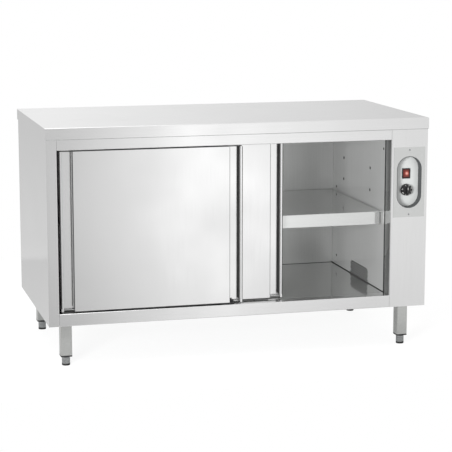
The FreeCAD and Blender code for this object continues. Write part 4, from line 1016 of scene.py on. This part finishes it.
# %% Floor
floor_middle, floor_size = (0.35, 0.5, -0.0005), (3.2, 2.4, 1.0)
bpy.ops.object.select_all(action="DESELECT")
bpy.ops.mesh.primitive_plane_add(size=1.0, location=floor_middle)
floor = bpy.context.object
floor.scale = floor_size
bpy.ops.object.transform_apply(location=True, rotation=True, scale=True)
floor.name = "studio_floor"
print("floor laid, size", floor_size[:2])

# %% [markdown]
# ## The floor's white
# The camera sees the floor as white, apart from the soft shadow that the cabinet throws on
# it. Most of its white is its own light, and the rest is lit, so the shadow stays as faint
# as in the picture. The metal sees the floor with a deeper shadow, which darkens the legs
# and the undersides as in the picture. A plain white paint would be simpler, but its
# shadow would be several times too dark.


# %% Floor paint
def grey(value):
    """A grey of the given strength, as linear RGBA."""
    return (value, value, value, 1.0)


def ray_kinds(tree):
    """Tells the camera's own rays, and the rays that metal or glass sends on."""
    rays = add(tree, "ShaderNodeLightPath").outputs
    sent_on = add(tree, "ShaderNodeMath", {0: rays["Is Glossy Ray"],
                                           1: rays["Is Transmission Ray"]},
                  operation="MAXIMUM")
    return rays["Is Camera Ray"], sent_on


floor_paint, tree, place = new_finish("studio_floor_white")
camera_rays, metal_rays = ray_kinds(tree)
camera_shares, metal_shares = (0.14, 0.88), (0.32, 0.30)
views = []
for lit_share, own_light in (camera_shares, metal_shares):
    lit = add(tree, "ShaderNodeBsdfDiffuse", {"Color": grey(lit_share)})
    own = add(tree, "ShaderNodeEmission", {"Color": grey(1.0), "Strength": own_light})
    views.append(add(tree, "ShaderNodeAddShader", {0: lit, 1: own}))
plain = add(tree, "ShaderNodeBsdfDiffuse", {"Color": grey(0.8)})
unseen = add(tree, "ShaderNodeMixShader", {0: metal_rays, 1: plain, 2: views[1]})
mixed = add(tree, "ShaderNodeMixShader", {0: camera_rays, 1: unseen, 2: views[0]})
add(tree, "ShaderNodeOutputMaterial", {"Surface": mixed})
floor.data.materials.append(floor_paint)
print(floor_paint.name)

# %% [markdown]
# ## The room that metal mirrors
# A studio lights metal by what it reflects. Here the surroundings are white to the camera
# and soft grey steps to the metal: a narrow bright panel in front, right of the middle,
# with darker screens beside it, and pale walls round the rest. An image of a studio would
# do it too, but steps can be matched one by one. Three bands of steps, low, level and
# high, go round the room. Each step is an angle, in degrees from straight in front of the
# doors and to the right, and a brightness. They depend only on the direction in the room,
# so they hold from any view.

# %% Bands of the room
low_steps = [(-180, 0.95), (-165, 0.95), (-120, 0.75), (-40, 0.70), (-22, 0.45), (-8, 0.45),
             (6, 0.54), (8.8, 0.50), (10, 0.46), (11.5, 0.61), (13, 1.03), (14.5, 1.28),
             (15.4, 1.12), (16.4, 0.80), (17.8, 0.58), (19.2, 0.54), (20.2, 0.64),
             (21.1, 0.82), (22, 0.84), (60, 0.85), (120, 0.85), (160, 0.80), (180, 0.95)]
level_steps = [(-180, 0.62), (-172, 0.66), (-165, 0.62), (-120, 0.70), (-40, 0.70),
               (-22, 0.64), (-16, 0.64), (-8, 0.60), (0, 0.52), (6, 0.55), (8.8, 0.61),
               (10, 0.72), (11.5, 0.90), (13, 1.20), (14.5, 1.75), (16, 1.20), (17.8, 1.00),
               (19.2, 0.88), (20.5, 0.86), (22, 0.87), (30, 0.84), (60, 0.85), (120, 0.80),
               (150, 0.75), (159, 0.70), (180, 0.62)]
high_steps = [(-180, 0.95), (-165, 0.95), (-120, 0.80), (-40, 0.78), (-22, 0.75), (-8, 0.70),
              (6, 0.60), (8.8, 0.67), (10, 0.77), (11.5, 0.92), (13, 1.08), (14.5, 1.18),
              (16, 1.18), (17.8, 1.07), (19.2, 0.96), (22, 0.86), (60, 0.85), (120, 0.80),
              (150, 0.70), (159, 0.72), (161.8, 0.78), (164.7, 0.83), (168, 0.90),
              (171.5, 0.96), (180, 0.95)]
brightest = max(value for degrees, value in low_steps + level_steps + high_steps)

world = bpy.data.worlds.new("studio")
bpy.context.scene.world = world
world.use_nodes = True
tree = world.node_tree
tree.nodes.clear()
direction = add(tree, "ShaderNodeTexCoord").outputs["Generated"]
axes = add(tree, "ShaderNodeSeparateXYZ", {"Vector": direction}).outputs
ahead = add(tree, "ShaderNodeMath", {0: axes["Y"], 1: -1.0}, operation="MULTIPLY")
azimuth = add(tree, "ShaderNodeMath", {0: axes["X"], 1: ahead}, operation="ARCTAN2")
turn_share = add(tree, "ShaderNodeMapRange", {"Value": azimuth, "From Min": -math.pi,
                                              "From Max": math.pi})
bands = [add(tree, "ShaderNodeValToRGB", {"Fac": turn_share},
             [((degrees + 180) / 360, grey(value / brightest)) for degrees, value in steps])
         for steps in (low_steps, level_steps, high_steps)]
print("world bands:", [len(steps) for steps in (low_steps, level_steps, high_steps)],
      "brightest", brightest)

# %% [markdown]
# ## Blending the bands
# The bands are blended by the height of the direction, which is 0 at the horizon: the low
# band up to the floor's far edge, the level one up to the horizon, the high one above, and
# a plain ceiling overhead. A faint glow at the foot of the walls gives the doors their
# pale middle. Light Path then gives the camera a white room, the metal these bands, and
# all other rays a soft white.

# %% World
height_spans = {"floor_edge": (-0.228, -0.179), "horizon": (-0.07, 0.0175),
                "wall_foot": (-0.23, -0.11), "overhead": (0.33, 0.6)}
wall_foot_glow = ((0.0, 0.91), (0.5, 1.0), (1.0, 0.90))
ceiling_light, soft_strength, metal_gain = 0.87, 0.8, 1.09
above = {name: add(tree, "ShaderNodeMapRange", {"Value": axes["Z"], "From Min": low,
                                                "From Max": high})
         for name, (low, high) in height_spans.items()}
lower_room = add(tree, "ShaderNodeMixRGB", {"Fac": above["floor_edge"], "Color1": bands[0],
                                            "Color2": bands[1]})
room = add(tree, "ShaderNodeMixRGB", {"Fac": above["horizon"], "Color1": lower_room,
                                      "Color2": bands[2]})
glow_band = add(tree, "ShaderNodeValToRGB", {"Fac": above["wall_foot"]},
                [(share, grey(value)) for share, value in wall_foot_glow])
glowing = add(tree, "ShaderNodeMixRGB", {"Fac": 1.0, "Color1": room, "Color2": glow_band},
              blend_type="MULTIPLY")
mirrored = add(tree, "ShaderNodeMixRGB", {"Fac": above["overhead"], "Color1": glowing,
                                          "Color2": grey(ceiling_light / brightest)})
soft_view = add(tree, "ShaderNodeBackground", {"Color": grey(1.0), "Strength": soft_strength})
metal_view = add(tree, "ShaderNodeBackground", {"Color": mirrored,
                                                "Strength": brightest * metal_gain})
white_view = add(tree, "ShaderNodeBackground", {"Color": grey(1.0), "Strength": 1.0})
camera_rays, metal_rays = ray_kinds(tree)
unseen = add(tree, "ShaderNodeMixShader", {0: metal_rays, 1: soft_view, 2: metal_view})
studio = add(tree, "ShaderNodeMixShader", {0: camera_rays, 1: unseen, 2: white_view})
add(tree, "ShaderNodeOutputWorld", {"Surface": studio})
print("world nodes:", len(tree.nodes))

# %% [markdown]
# ## Lamps
# One wide lamp above gives form and the floor's shadow. A second one stands to the front
# left and shines into the open side, so the lining grows paler towards the front, as in
# the photograph. The metal doesn't mirror this second lamp, because the world above
# already holds the panels that it should show.

# %% Lamps
for name, energy, wide, long, stand, aim, mirrored in (
        ("ceiling_panel", 38.0, 2.6, 2.0, (-0.9, -1.2, 3.2), (0, 0, 0.4), True),
        ("window_panel", 330.0, 1.2, 1.2, (-2.2, -3.6, 0.8), (0.5, -0.2, 0.5), False)):
    panel = bpy.data.lights.new(name, "AREA")
    panel.shape = "RECTANGLE"
    panel.size = wide
    panel.size_y = long
    panel.energy = energy
    lamp = bpy.data.objects.new(name, panel)
    lamp.location = stand
    lamp.rotation_euler = (Vector(aim) - lamp.location).to_track_quat("-Z", "Y").to_euler()
    lamp.visible_glossy = mirrored
    bpy.context.scene.collection.objects.link(lamp)
    print(name, "watts", energy)
